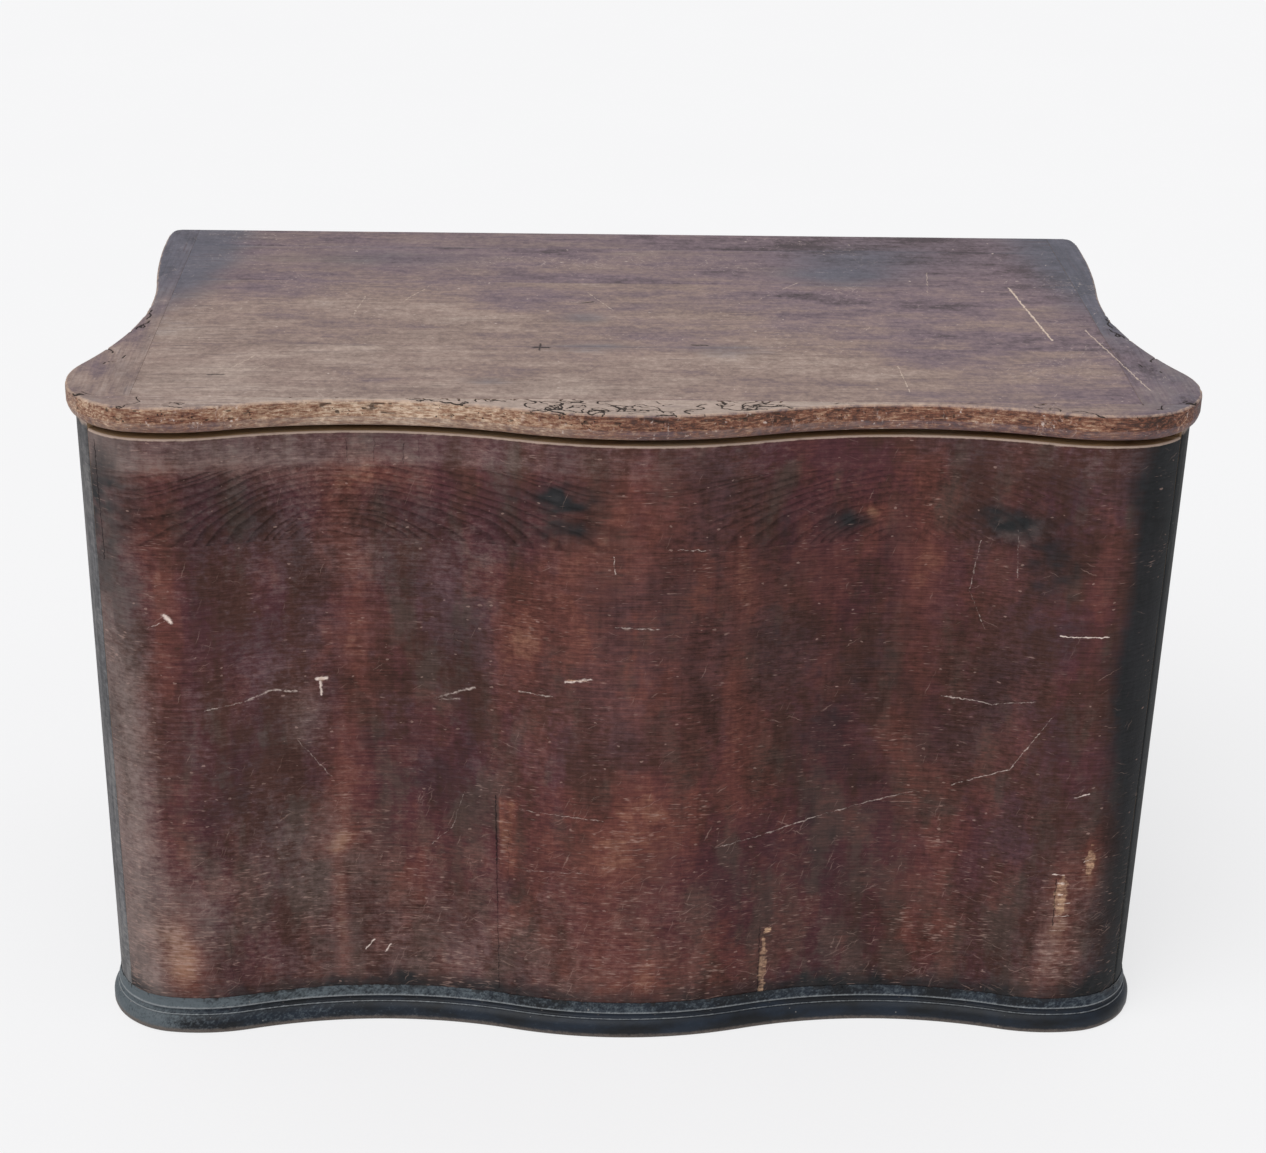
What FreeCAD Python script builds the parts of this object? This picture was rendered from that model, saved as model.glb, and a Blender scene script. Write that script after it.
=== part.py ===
import FreeCAD, Part
import os
from collections import namedtuple
from math import asin, atan2, cos, degrees, pi, radians, sin, sqrt

os.makedirs("parts", exist_ok=True)
Vector = FreeCAD.Vector

# Pine chest with a serpentine front, waisted sides and a flat back. Sizes are in millimetres,
# X runs to the right, Y to the back and Z up. The origin is under the middle of the whole object.

# Overall sizes
carcass_width = 1125.0      # between the outer faces at the two front corners
carcass_depth = 570.0       # from the swell of the front to the back face
overall_height = 735.0      # floor to lid top
wall = 28.0                 # front and side walls
back_thickness = 24.0
bottom_thickness = 22.0
runner_height = 14.0

# Plan of the front: a swell in the middle, a hollow each side, a crest before each corner
valley_depth = 35.4         # how far the hollow lies behind the swell
crest_setback = 9.0         # how far the corner crest lies behind the swell
crest_inset = 94.9          # crest to the carcass's widest point
valley_to_crest = 199.5
swell_share = 0.459         # swell radius over the sum of the swell and hollow radii
crest_share = 0.270         # crest radius over the sum of the hollow and crest radii
corner_radius = 75.6
corner_joint_angle = 40.6   # degrees forward of square, where a front board meets the side

# Plan of the sides: a waist, then a shallow swell towards the back
waist_inset = 52.1          # waist to the carcass's widest point
waist_setback = 314.0       # waist behind the front swell
hip_inset = 37.1            # back swell to the carcass's widest point
hip_to_back = 47.8
waist_share = 0.309         # waist radius over the sum of the waist and hip radii

# Front boards, counted upwards; the third takes up what is left
front_board_1_height = 96.0
front_board_2_height = 151.0
front_board_4_height = 80.0
front_board_5_height = 36.0
front_shrinkage = 6.6       # gap between the front's top edge and the lid
lid_rest_gap = 0.4          # gap between the lid and the sides and back

# Boards glued and nailed side by side
stave_count = 6
back_board_count = 4
bottom_board_count = 4
glue_line = 0.1             # thickness of a glued joint between curved faces

# Lid
lid_thickness = 30.0
lid_overhang = 8.4          # at the front and the sides; the back is flush
lid_arris = 3.5             # rounding along the top edge
lid_round_height = 12.0     # round under the front and side edges
lid_round_depth = 10.0
lid_round_swell = 2.8       # how far the round stands out from its chord
lid_round_quirk = 0.4       # small step above the round
lid_back_corner = 13.0
front_strip_at_hollow = 6.0  # width of the front strip where the hollow comes closest
end_strip_at_waist = 18.8
front_plank_width = 151.0
rear_plank_width = 122.0
back_strip_width = 60.0
batten_width = 60.0
batten_thickness = 22.0
batten_bevel = 5.0
batten_inset = 162.0        # batten centre to the carcass's widest point
batten_front = 100.0        # batten end behind the front swell
batten_back = 50.0          # batten end before the back face
batten_nail_count = 5

# Base moulding
plinth_height = 40.0
plinth_projection = 9.7
plinth_top_edge = 0.6       # thickness of its feathered top
plinth_splay_height = 11.0
plinth_splay_reach = 3.2
plinth_splay_sag = 0.9      # how far the splay is hollowed
plinth_fillet = 1.4
plinth_hollow_height = 5.5
plinth_hollow_depth = 1.6
plinth_bead = 2.2
plinth_step = 0.4           # the bead and the round start this far out from the fillet
plinth_round_low = 8.0      # height at which the large round turns straight down
plinth_round_swell = 0.16   # swell of the round, as a share of its height
plinth_toe = 1.5            # bevel along the floor
block_length = 40.0
block_depth = 14.0

# Floor runners under the bottom
runner_width = 60.0
runner_front = 62.0         # runner end behind the front swell
runner_back = 22.0          # runner end before the back face
runner_bevel = 3.0
runner_nail_count = 4

# Corner posts behind the front corners
post_half_angle = 48.0
post_below_lid = 45.0

# Iron strap hinges
strap_width = 36.0
strap_thickness = 3.0
strap_length = 330.0
strap_inset = 262.0         # strap centre to the carcass's widest point
strap_nail_count = 5
leaf_length = 150.0
leaf_nail_count = 3
pin_radius = 3.5
pin_clearance = 0.05
pin_head_radius = 5.2
pin_head_height = 2.0
knuckle_side_gap = 0.4
knuckle_back_gap = 0.6      # between the knuckles and the lid's back edge
middle_knuckle_share = 0.38

# Forged nails
nail_radius = 1.7
nail_head_radius = 4.2
nail_head_height = 1.6
nail_clearance = 0.05
brad_radius = 0.9
brad_length = 15.0
nail_into_wall = 30.0
nail_stop = 6.0             # how far a nail's point stays from the far face of a board

# Heights and depths that follow from the sizes above
barrel_radius = pin_radius + pin_clearance + strap_thickness
front_reach = max(plinth_projection, lid_overhang)
back_reach = knuckle_back_gap + 2 * barrel_radius
front_y = (front_reach - carcass_depth - back_reach) / 2
back_y = front_y + carcass_depth
half_width = carcass_width / 2
lid_bottom = overall_height - lid_thickness
bottom_low = runner_height
bottom_high = runner_height + bottom_thickness
wall_top = lid_bottom - lid_rest_gap
front_top = lid_bottom - front_shrinkage
side_end_y = back_y - back_thickness
beyond = 50.0               # how far a cutter reaches past what it cuts

# An arc of the plan: convex arcs have side 1 and concave ones side -1, seen from outside
PlanArc = namedtuple("PlanArc", "x y radius side start end")


def direction(x0, y0, x1, y1):
    return atan2(y1 - y0, x1 - x0)


def ogee_sum(run, rise):
    # Sum of the two radii of an S-curve whose ends are parallel
    return (run * run + rise * rise) / (2 * rise)


def plan_of_right_half():
    # Tangent arcs from the middle of the front round the right corner to the back
    crest_x = half_width - crest_inset
    valley_x = crest_x - valley_to_crest
    swell_sum = ogee_sum(valley_x, valley_depth)
    crest_sum = ogee_sum(valley_to_crest, valley_depth - crest_setback)
    swell_r = swell_share * swell_sum
    inner_hollow_r = swell_sum - swell_r
    crest_r = crest_share * crest_sum
    outer_hollow_r = crest_sum - crest_r
    valley_y = front_y + valley_depth

    swell_y = front_y + swell_r
    inner_y = valley_y - inner_hollow_r
    outer_y = valley_y - outer_hollow_r
    crest_y = front_y + crest_setback + crest_r
    corner_x = half_width - corner_radius
    corner_run = corner_x - crest_x
    corner_y = crest_y - sqrt((crest_r - corner_radius) ** 2 - corner_run ** 2)

    waist_x = half_width - waist_inset
    waist_y = front_y + waist_setback
    hip_x = half_width - hip_inset
    hip_y = back_y - hip_to_back
    flare_x = waist_x - corner_x
    flare_y = waist_y - corner_y
    flare_r = (flare_x ** 2 + flare_y ** 2 - corner_radius ** 2) / (2 * waist_inset)
    hip_sum = ogee_sum(hip_y - waist_y, hip_x - waist_x)
    waist_r = waist_share * hip_sum
    hip_r = hip_sum - waist_r

    swell_end = direction(0, swell_y, valley_x, inner_y)
    crest_start = direction(crest_x, crest_y, valley_x, outer_y)
    corner_start = direction(crest_x, crest_y, corner_x, corner_y)
    corner_end = direction(corner_x, corner_y, waist_x + flare_r, waist_y)
    hip_start = direction(hip_x - hip_r, hip_y, waist_x + waist_r, waist_y)
    return [
        PlanArc(0, swell_y, swell_r, 1, -pi / 2, swell_end),
        PlanArc(valley_x, inner_y, inner_hollow_r, -1, swell_end + pi, pi / 2),
        PlanArc(valley_x, outer_y, outer_hollow_r, -1, pi / 2, crest_start + pi),
        PlanArc(crest_x, crest_y, crest_r, 1, crest_start, corner_start),
        PlanArc(corner_x, corner_y, corner_radius, 1, corner_start, corner_end),
        PlanArc(waist_x + flare_r, waist_y, flare_r, -1, corner_end + pi, pi),
        PlanArc(waist_x + waist_r, waist_y, waist_r, -1, pi, hip_start + pi),
        PlanArc(hip_x - hip_r, hip_y, hip_r, 1, hip_start, asin(hip_to_back / hip_r)),
    ]


plan = plan_of_right_half()
corner = plan[4]
hip = plan[7]
joint_angle = -radians(corner_joint_angle)
front_chain = plan[:4] + [corner._replace(end=joint_angle)]
side_chain = [corner._replace(start=joint_angle)] + plan[5:]
waist_x = half_width - waist_inset


def arc_radius(arc, offset):
    return arc.radius + arc.side * offset


def arc_point(arc, angle, offset, z=0.0):
    radius = arc_radius(arc, offset)
    return Vector(arc.x + radius * cos(angle), arc.y + radius * sin(angle), z)


def outward(arc, angle):
    return Vector(arc.side * cos(angle), arc.side * sin(angle), 0)


def share_of(arc, share):
    # Angle at a share of the way along an arc
    return arc.start + share * (arc.end - arc.start)


def end_at(arc, offset, y):
    # Angle at which the offset arc reaches a plane across the chest
    return asin((y - arc.y) / arc_radius(arc, offset))


def arc_edge(arc, offset, z=0.0):
    middle = share_of(arc, 0.5)
    points = [arc_point(arc, angle, offset, z) for angle in (arc.start, middle, arc.end)]
    return Part.Arc(*points).toShape()


def line(a, b):
    return Part.LineSegment(a, b).toShape()


def mirrored(shape):
    return shape.mirror(Vector(0, 0, 0), Vector(1, 0, 0))


def face_of(edges):
    return Part.Face(Part.Wire(Part.__sortEdges__(edges)))


def joined(shapes):
    # One solid of shapes that touch, with no seam left where their faces run on
    whole = shapes[0]
    for shape in shapes[1:]:
        whole = whole.fuse(shape)
    return whole.removeSplitter()


def prism(face, low, high):
    face = face.copy()
    face.translate(Vector(0, 0, low))
    return face.extrude(Vector(0, 0, high - low))


def box(x0, x1, y0, y1, z0, z1):
    return Part.makeBox(x1 - x0, y1 - y0, z1 - z0, Vector(x0, y0, z0))


def outline_face(offset, end_y):
    # The whole plan at an offset, closed by a straight back
    last = hip._replace(end=end_at(hip, offset, end_y))
    right = [arc_edge(arc, offset) for arc in plan[:7] + [last]]
    left = [mirrored(edge) for edge in right]
    tip = arc_point(last, last.end, offset)
    return face_of(right + left + [line(tip, Vector(-tip.x, tip.y, 0))])


def band_face(chain, outer, inner, end_y=None):
    # A strip along part of the plan, between two offsets
    edges = []
    ends = []
    for offset in (outer, inner):
        last = chain[-1]
        if end_y is not None:
            last = last._replace(end=end_at(last, offset, end_y))
        run = chain[:-1] + [last]
        edges += [arc_edge(arc, offset) for arc in run]
        ends.append((arc_point(run[0], run[0].start, offset), arc_point(last, last.end, offset)))
    starts, stops = zip(*ends)
    return face_of(edges + [line(*starts), line(*stops)])


def up_to(chain, y):
    # The same chain with its last arc ended on a plane across the chest
    return chain[:-1] + [chain[-1]._replace(end=end_at(chain[-1], 0, y))]


def split_chain(chain, count):
    # Divides a chain into runs of equal length along its outer face
    lengths = [arc.radius * abs(arc.end - arc.start) for arc in chain]
    target = sum(lengths) / count
    runs = []
    current = []
    room = target
    for arc, length in zip(chain, lengths):
        done = 0.0
        while len(runs) < count - 1 and length - done > room:
            cut_from = share_of(arc, done / length)
            done += room
            cut_to = share_of(arc, done / length)
            current.append(arc._replace(start=cut_from, end=cut_to))
            runs.append(current)
            current = []
            room = target
        current.append(arc._replace(start=share_of(arc, done / length)))
        room -= length - done
    runs.append(current)
    return runs


def nail(point, into, length, radius=nail_radius, head=True):
    # A round-headed forged nail whose head sits on the face at the point
    shank = Part.makeCylinder(radius, length, point, into)
    if not head:
        return shank
    crown = Part.makeCone(
        nail_head_radius, nail_head_radius / 2, nail_head_height, point, into * -1)
    return joined([shank, crown])


def nail_hole(point, into, length, radius=nail_radius):
    return Part.makeCylinder(radius + nail_clearance, length + nail_clearance, point, into)


def drilled(shape, holes):
    # Cuts only the holes that reach the piece
    near = [hole for hole in holes if hole.BoundBox.intersect(shape.BoundBox)]
    return shape.cut(near) if near else shape


def save(name, shape):
    if len(shape.Solids) == 1:
        shape = shape.Solids[0]
    shape.exportStep("parts/" + name + ".step")
    print(name, len(shape.Solids), round(shape.Volume / 1000), "cm3", shape.isValid())


# Nails from below through the bottom boards into the walls, just inside the glue blocks
def wall_nail_places():
    places = []
    line_in = -(block_depth + nail_head_radius + nail_radius / 4)
    for arc in up_to(plan, side_end_y - nail_head_radius):
        for share in (0.3, 0.8):
            spot = arc_point(arc, share_of(arc, share), line_in, bottom_low)
            places += [spot, Vector(-spot.x, spot.y, spot.z)]
    return places


up = Vector(0, 0, 1)
down = Vector(0, 0, -1)
to_front = Vector(0, -1, 0)
bottom_nail_length = bottom_thickness + nail_into_wall
bottom_nail_places = wall_nail_places()
bottom_holes = [nail_hole(spot, up, bottom_nail_length) for spot in bottom_nail_places]

# Nails from behind through the back boards into the sides
back_low = bottom_high
back_board_height = (wall_top - back_low) / back_board_count
back_nail_length = back_thickness + nail_into_wall
back_nail_places = []
for row in range(back_board_count):
    for share in (0.25, 0.75):
        spot = arc_point(hip, end_at(hip, -wall / 2, side_end_y), -wall / 2)
        height = back_low + back_board_height * (row + share)
        back_nail_places.append(Vector(spot.x, back_y, height))
        back_nail_places.append(Vector(-spot.x, back_y, height))
back_holes = [nail_hole(spot, to_front, back_nail_length) for spot in back_nail_places]

# Brads through the hollow of the base moulding into the edges of the bottom boards
hollow_high = plinth_height - plinth_splay_height - plinth_fillet
brad_height = hollow_high - plinth_hollow_height / 2
brad_reach = plinth_splay_reach - plinth_hollow_depth
brad_spots = []
for arc in plan:
    for share in (0.25, 0.75):
        angle = share_of(arc, share)
        spot = arc_point(arc, angle, brad_reach, brad_height)
        inward = outward(arc, angle) * -1
        brad_spots.append((spot, inward))
        brad_spots.append((Vector(-spot.x, spot.y, spot.z), Vector(-inward.x, inward.y, 0)))
brad_holes = [
    nail_hole(spot - into * plinth_projection, into, brad_length + plinth_projection, brad_radius)
    for spot, into in brad_spots]

# Hinge places
pin_y = back_y + knuckle_back_gap + barrel_radius
pin_z = lid_bottom - strap_thickness
strap_x = half_width - strap_inset
strap_front = back_y - strap_length
batten_x = half_width - batten_inset
leaf_top = pin_z - barrel_radius - knuckle_back_gap
leaf_bottom = leaf_top - leaf_length


def evenly(low, high, count):
    step = (high - low) / count
    return [low + step * (i + 0.5) for i in range(count)]


strap_nail_length = strap_thickness + lid_thickness - nail_stop
leaf_nail_length = strap_thickness + back_thickness - nail_stop
strap_nail_places = [
    Vector(side * strap_x, y, pin_z)
    for side in (-1, 1) for y in evenly(strap_front, back_y, strap_nail_count)]
leaf_nail_places = [
    Vector(side * strap_x, back_y + strap_thickness, z)
    for side in (-1, 1) for z in evenly(leaf_bottom, leaf_top, leaf_nail_count)]
strap_holes = [nail_hole(spot, up, strap_nail_length) for spot in strap_nail_places]
leaf_holes = [nail_hole(spot, to_front, leaf_nail_length) for spot in leaf_nail_places]

# Nails from below through the battens into the lid
batten_low = lid_bottom - batten_thickness
batten_y0 = front_y + batten_front
batten_y1 = back_y - batten_back
batten_nail_length = batten_thickness + lid_thickness - nail_stop
batten_nail_places = [
    Vector(side * batten_x, y, batten_low)
    for side in (-1, 1) for y in evenly(batten_y0, batten_y1, batten_nail_count)]
batten_holes = [nail_hole(spot, up, batten_nail_length) for spot in batten_nail_places]

# Nails from below through the runners into the bottom boards; their heads are let in flush
runner_y0 = front_y + runner_front
runner_y1 = back_y - runner_back
runner_places = {"left": -batten_x, "centre": 0.0, "right": batten_x}
runner_sink = 2 * nail_head_height
runner_nail_length = runner_height - runner_sink + bottom_thickness - nail_stop
runner_nail_places = [
    Vector(x + shift, y, runner_sink)
    for x in runner_places.values()
    for shift, y in zip(
        (-runner_width / 4, runner_width / 4) * runner_nail_count,
        evenly(runner_y0, runner_y1, runner_nail_count))]
runner_holes = [nail_hole(spot, up, runner_nail_length) for spot in runner_nail_places]
runner_sinks = [
    Part.makeCylinder(nail_head_radius + nail_clearance, runner_sink, Vector(spot.x, spot.y, 0))
    for spot in runner_nail_places]


# Front: five boards edge to edge, sawn to the serpentine inside and out
def front_boards():
    half_face = band_face(front_chain, 0, -wall)
    low_joints = [bottom_high, bottom_high + front_board_1_height]
    low_joints.append(low_joints[-1] + front_board_2_height)
    high_joints = [front_top - front_board_5_height, front_top]
    high_joints.insert(0, high_joints[0] - front_board_4_height)
    levels = low_joints + high_joints
    for number, (low, high) in enumerate(zip(levels, levels[1:]), 1):
        half = prism(half_face, low, high)
        board = joined([half, mirrored(half)])
        save("front_board_%d" % number, drilled(board, bottom_holes))


# Sides: upright staves, each shaped to its part of the waisted plan
def side_staves():
    runs = split_chain(up_to(side_chain, side_end_y), stave_count)
    for number, run in enumerate(runs, 1):
        end_y = side_end_y if number == stave_count else None
        stave = prism(band_face(run, 0, -wall, end_y), bottom_high, wall_top)
        for name, piece in (("right", stave), ("left", mirrored(stave))):
            save("%s_stave_%d" % (name, number), drilled(piece, bottom_holes + back_holes))


# Back: level boards nailed over the ends of the staves, notched for the hinge straps
def back_boards():
    across = outline_face(0, back_y).cut(outline_face(beyond, side_end_y))
    notch_low = pin_z - knuckle_back_gap
    half = strap_width / 2 + knuckle_back_gap
    notches = [
        box(x - half, x + half, side_end_y - beyond, back_y + beyond, notch_low, lid_bottom)
        for x in (-strap_x, strap_x)]
    for number in range(1, back_board_count + 1):
        low = back_low + back_board_height * (number - 1)
        board = prism(across, low, low + back_board_height)
        board = drilled(board, notches)
        save("back_board_%d" % number, drilled(board, back_holes + leaf_holes))


# Bottom: boards along the chest under the walls, cut to the plan outside
def bottom_boards():
    whole = prism(outline_face(0, back_y), bottom_low, bottom_high)
    width = carcass_depth / bottom_board_count
    for number in range(1, bottom_board_count + 1):
        y0 = front_y + width * (number - 1)
        strip = box(-carcass_width, carcass_width, y0, y0 + width, bottom_low, bottom_high)
        board = whole.common(strip)
        save("bottom_board_%d" % number, drilled(board, bottom_holes + runner_holes + brad_holes))


def bevelled_bar(x, y0, y1, z0, z1, width, bevel):
    # A batten with its two long lower edges bevelled
    half = width / 2
    points = [(-half, z1), (-half, z0 + bevel), (-half + bevel, z0), (half - bevel, z0)]
    points += [(half, z0 + bevel), (half, z1)]
    corners = [Vector(x + px, y0, pz) for px, pz in points]
    section = Part.Face(Part.makePolygon(corners + corners[:1]))
    return section.extrude(Vector(0, y1 - y0, 0))


def floor_runners():
    for name, x in runner_places.items():
        bar = bevelled_bar(x, runner_y0, runner_y1, 0, runner_height, runner_width, runner_bevel)
        save("floor_runner_" + name, drilled(bar, runner_holes + runner_sinks))


# Base moulding: a splay, a fillet, a dark hollow, a bead and a large round over the floor
def plinth_section():
    top = plinth_height
    splay_low = top - plinth_splay_height
    fillet_low = splay_low - plinth_fillet
    hollow_low = fillet_low - plinth_hollow_height
    bead_low = hollow_low - plinth_bead
    reach = plinth_splay_reach
    top_reach = glue_line + plinth_top_edge
    step_reach = reach + plinth_step
    out = plinth_projection
    splay_middle = (top_reach + reach) / 2 - plinth_splay_sag
    round_middle = (step_reach + out) / 2 + plinth_round_swell * (bead_low - plinth_round_low)
    return [
        ("line", glue_line, 0.0),
        ("line", glue_line, top),
        ("line", top_reach, top),
        ("arc", splay_middle, (top + splay_low) / 2, reach, splay_low),
        ("line", reach, fillet_low),
        ("arc", reach - plinth_hollow_depth, (fillet_low + hollow_low) / 2, reach, hollow_low),
        ("line", step_reach, hollow_low),
        ("arc", step_reach + plinth_bead / 2, (hollow_low + bead_low) / 2, step_reach, bead_low),
        ("arc", round_middle, (bead_low + plinth_round_low) / 2, out, plinth_round_low),
        ("line", out, plinth_toe),
        ("line", out - plinth_toe, 0.0),
    ]


def section_face(steps, arc, angle):
    # A moulding's section standing square to the plan at one place
    def at(reach, height):
        return arc_point(arc, angle, reach, height)

    first = at(*steps[0][1:])
    here = first
    edges = []
    for step in steps[1:]:
        if step[0] == "arc":
            middle = at(*step[1:3])
            there = at(*step[3:])
            edges.append(Part.Arc(here, middle, there).toShape())
        else:
            there = at(*step[1:])
            edges.append(line(here, there))
        here = there
    edges.append(line(here, first))
    return Part.Face(Part.Wire(edges))


def moulding_run(steps, chain, extra=0.0):
    # The section turned about the centre of each arc in the chain
    pieces = []
    for arc in chain:
        turn = arc.end - arc.start
        if extra and arc is chain[-1]:
            turn += extra / arc.radius
        section = section_face(steps, arc, arc.start)
        pieces.append(section.revolve(Vector(arc.x, arc.y, 0), up, degrees(turn)))
    return pieces


def plinth():
    right = moulding_run(plinth_section(), front_chain)
    front = joined(right + [mirrored(piece) for piece in right])
    save("plinth_front", drilled(front, brad_holes))
    behind = box(0, carcass_width, back_y, back_y + beyond, -beyond, plinth_height + beyond)
    side = joined(moulding_run(plinth_section(), side_chain, 2 * plinth_projection)).cut(behind)
    side = drilled(side, brad_holes)
    save("plinth_right", side)
    save("plinth_left", mirrored(side))


def plinth_brads():
    brads = [
        nail(spot, into, brad_length, brad_radius, head=False) for spot, into in brad_spots]
    save("plinth_brads", Part.makeCompound(brads))


def plinth_glue_blocks():
    # Blocks in the angle between the moulding and the bottom boards
    blocks = []
    for arc in plan:
        middle = -pi / 2 if arc is plan[0] else share_of(arc, 0.5)
        turn = block_length / arc.radius / 2
        piece = arc._replace(start=middle - turn, end=middle + turn)
        block = prism(band_face([piece], 0, -block_depth), 0, bottom_low)
        blocks.append(block)
        if arc is not plan[0]:
            blocks.append(mirrored(block))
    save("plinth_glue_blocks", Part.makeCompound(blocks))


# Posts glued into the hollow behind each front corner
def corner_posts():
    middle = (corner.start + corner.end) / 2
    half = radians(post_half_angle)
    piece = corner._replace(start=middle - half, end=middle + half)
    offset = -wall - glue_line
    curve = arc_edge(piece, offset)
    chord = line(arc_point(piece, piece.start, offset), arc_point(piece, piece.end, offset))
    post = prism(face_of([curve, chord]), bottom_high, front_top - post_below_lid)
    save("corner_post_right", post)
    save("corner_post_left", mirrored(post))


# Lid: one moulded board, divided along its glue joints
def lid_round_section():
    # What the round takes off the lid's lower edge
    top = lid_bottom + lid_round_height
    outer = lid_overhang - lid_round_quirk
    inner = lid_overhang - lid_round_depth
    chord = sqrt((outer - inner) ** 2 + lid_round_height ** 2)
    swell = lid_round_swell / chord
    middle = (inner + outer) / 2 + swell * lid_round_height
    middle_z = (lid_bottom + top) / 2 - swell * (outer - inner)
    clear = lid_overhang + lid_round_depth
    return [
        ("line", inner, lid_bottom),
        ("arc", middle, middle_z, outer, top),
        ("line", clear, top),
        ("line", clear, lid_bottom - lid_round_depth),
        ("line", inner, lid_bottom - lid_round_depth),
    ]


def lid_body():
    radius = arc_radius(hip, lid_overhang) - lid_back_corner
    turn_y = back_y - lid_back_corner
    turn_x = hip.x + sqrt(radius ** 2 - (turn_y - hip.y) ** 2)
    turn_start = direction(hip.x, hip.y, turn_x, turn_y)
    turn = PlanArc(turn_x, turn_y, lid_back_corner, 1, turn_start, pi / 2)
    right = [arc_edge(arc, lid_overhang) for arc in plan[:7] + [hip._replace(end=turn_start)]]
    right.append(arc_edge(turn, 0))
    left = [mirrored(edge) for edge in right]
    back = line(Vector(turn_x, back_y, 0), Vector(-turn_x, back_y, 0))
    board = prism(face_of(right + left + [back]), lid_bottom, overall_height)
    top_edges = [edge for edge in board.Edges if edge.BoundBox.ZMin > overall_height - lid_arris]
    board = board.makeFillet(lid_arris, top_edges)
    rounds = moulding_run(lid_round_section(), plan, 2 * lid_back_corner)
    return board.cut(joined(rounds + [mirrored(piece) for piece in rounds]))


def lid_boards():
    whole = lid_body()
    joint_y = front_y + valley_depth - lid_overhang + front_strip_at_hollow
    joint_x = waist_x + lid_overhang - end_strip_at_waist
    first = joint_y + front_plank_width
    third = back_y - back_strip_width
    second = third - rear_plank_width
    outside = carcass_width
    front_edge = front_y - beyond
    back_edge = back_y + beyond
    areas = {
        "lid_front_strip": (-outside, outside, front_edge, joint_y),
        "lid_end_strip_left": (-outside, -joint_x, joint_y, back_edge),
        "lid_end_strip_right": (joint_x, outside, joint_y, back_edge),
        "lid_plank_1": (-joint_x, joint_x, joint_y, first),
        "lid_plank_2": (-joint_x, joint_x, first, second),
        "lid_plank_3": (-joint_x, joint_x, second, third),
        "lid_plank_4": (-joint_x, joint_x, third, back_edge),
    }
    for name, area in areas.items():
        board = whole.common(box(*area, lid_bottom - 1, overall_height + 1))
        save(name, drilled(board, strap_holes + batten_holes))


def lid_battens():
    for name, x in (("left", -batten_x), ("right", batten_x)):
        bar = bevelled_bar(
            x, batten_y0, batten_y1, batten_low, lid_bottom, batten_width, batten_bevel)
        save("lid_batten_" + name, drilled(bar, batten_holes))


# Hinges: a strap under the lid, a leaf down the back, and a pin through their knuckles
def knuckle_spans(x):
    middle = strap_width * middle_knuckle_share / 2
    edge = strap_width / 2
    gap = knuckle_side_gap / 2
    outer = [(x - edge, x - middle - gap), (x + middle + gap, x + edge)]
    return outer, [(x - middle + gap, x + middle - gap)]


def knuckles(spans):
    across = Vector(1, 0, 0)
    return [
        Part.makeCylinder(barrel_radius, x1 - x0, Vector(x0, pin_y, pin_z), across)
        for x0, x1 in spans]


def pin_bore(x):
    length = strap_width + 2 * beyond
    start = Vector(x - length / 2, pin_y, pin_z)
    return Part.makeCylinder(pin_radius + pin_clearance, length, start, Vector(1, 0, 0))


def rounded_plate(x, low, high):
    # A flat bar with a half-round tip at its low end, lying in the XY plane
    half = strap_width / 2
    tip = Part.Arc(
        Vector(x - half, low + half, 0), Vector(x, low, 0), Vector(x + half, low + half, 0))
    edges = [tip.toShape(), line(Vector(x + half, low + half, 0), Vector(x + half, high, 0))]
    edges.append(line(Vector(x + half, high, 0), Vector(x - half, high, 0)))
    edges.append(line(Vector(x - half, high, 0), Vector(x - half, low + half, 0)))
    return prism(Part.Face(Part.Wire(edges)), 0, strap_thickness)


def hinge_strap(x):
    outer, middle = knuckle_spans(x)
    plate = rounded_plate(x, strap_front, pin_y)
    plate.translate(Vector(0, 0, pin_z))
    gap = knuckle_side_gap
    x0, x1 = middle[0]
    room = box(x0 - gap, x1 + gap, back_y - gap, pin_y + beyond, pin_z - beyond, lid_bottom + 1)
    strap = joined([plate.cut(room)] + knuckles(outer))
    return drilled(strap.cut(pin_bore(x)), strap_holes)


def hinge_leaf(x):
    outer, middle = knuckle_spans(x)
    plate = rounded_plate(x, leaf_bottom, pin_z)
    plate.rotate(Vector(0, 0, 0), Vector(1, 0, 0), 90)
    plate.translate(Vector(0, back_y + strap_thickness, 0))
    gap = knuckle_side_gap
    x0, x1 = middle[0]
    rooms = [
        box(a, b, back_y - 1, pin_y, leaf_top, pin_z + 1)
        for a, b in ((x - strap_width, x0 - gap / 2), (x1 + gap / 2, x + strap_width))]
    leaf = joined([plate.cut(rooms)] + knuckles(middle))
    return drilled(leaf.cut(pin_bore(x)), leaf_holes)


def hinge_pin(x):
    reach = strap_width / 2 + knuckle_side_gap
    across = Vector(1, 0, 0)
    parts = [Part.makeCylinder(pin_radius, 2 * reach, Vector(x - reach, pin_y, pin_z), across)]
    for end in (x - reach - pin_head_height, x + reach):
        start = Vector(end, pin_y, pin_z)
        parts.append(Part.makeCylinder(pin_head_radius, pin_head_height, start, across))
    return joined(parts)


def hinges():
    for name, x in (("left", -strap_x), ("right", strap_x)):
        save("hinge_strap_" + name, hinge_strap(x))
        save("hinge_leaf_" + name, hinge_leaf(x))
        save("hinge_pin_" + name, hinge_pin(x))


def nail_groups():
    groups = {
        "bottom_nails": (bottom_nail_places, up, bottom_nail_length),
        "back_nails": (back_nail_places, to_front, back_nail_length),
        "runner_nails": (runner_nail_places, up, runner_nail_length),
        "hinge_leaf_nails": (leaf_nail_places, to_front, leaf_nail_length),
        "hinge_strap_nails": (strap_nail_places, up, strap_nail_length),
        "batten_nails": (batten_nail_places, up, batten_nail_length),
    }
    for name, (places, into, length) in groups.items():
        save(name, Part.makeCompound([nail(spot, into, length) for spot in places]))


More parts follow.
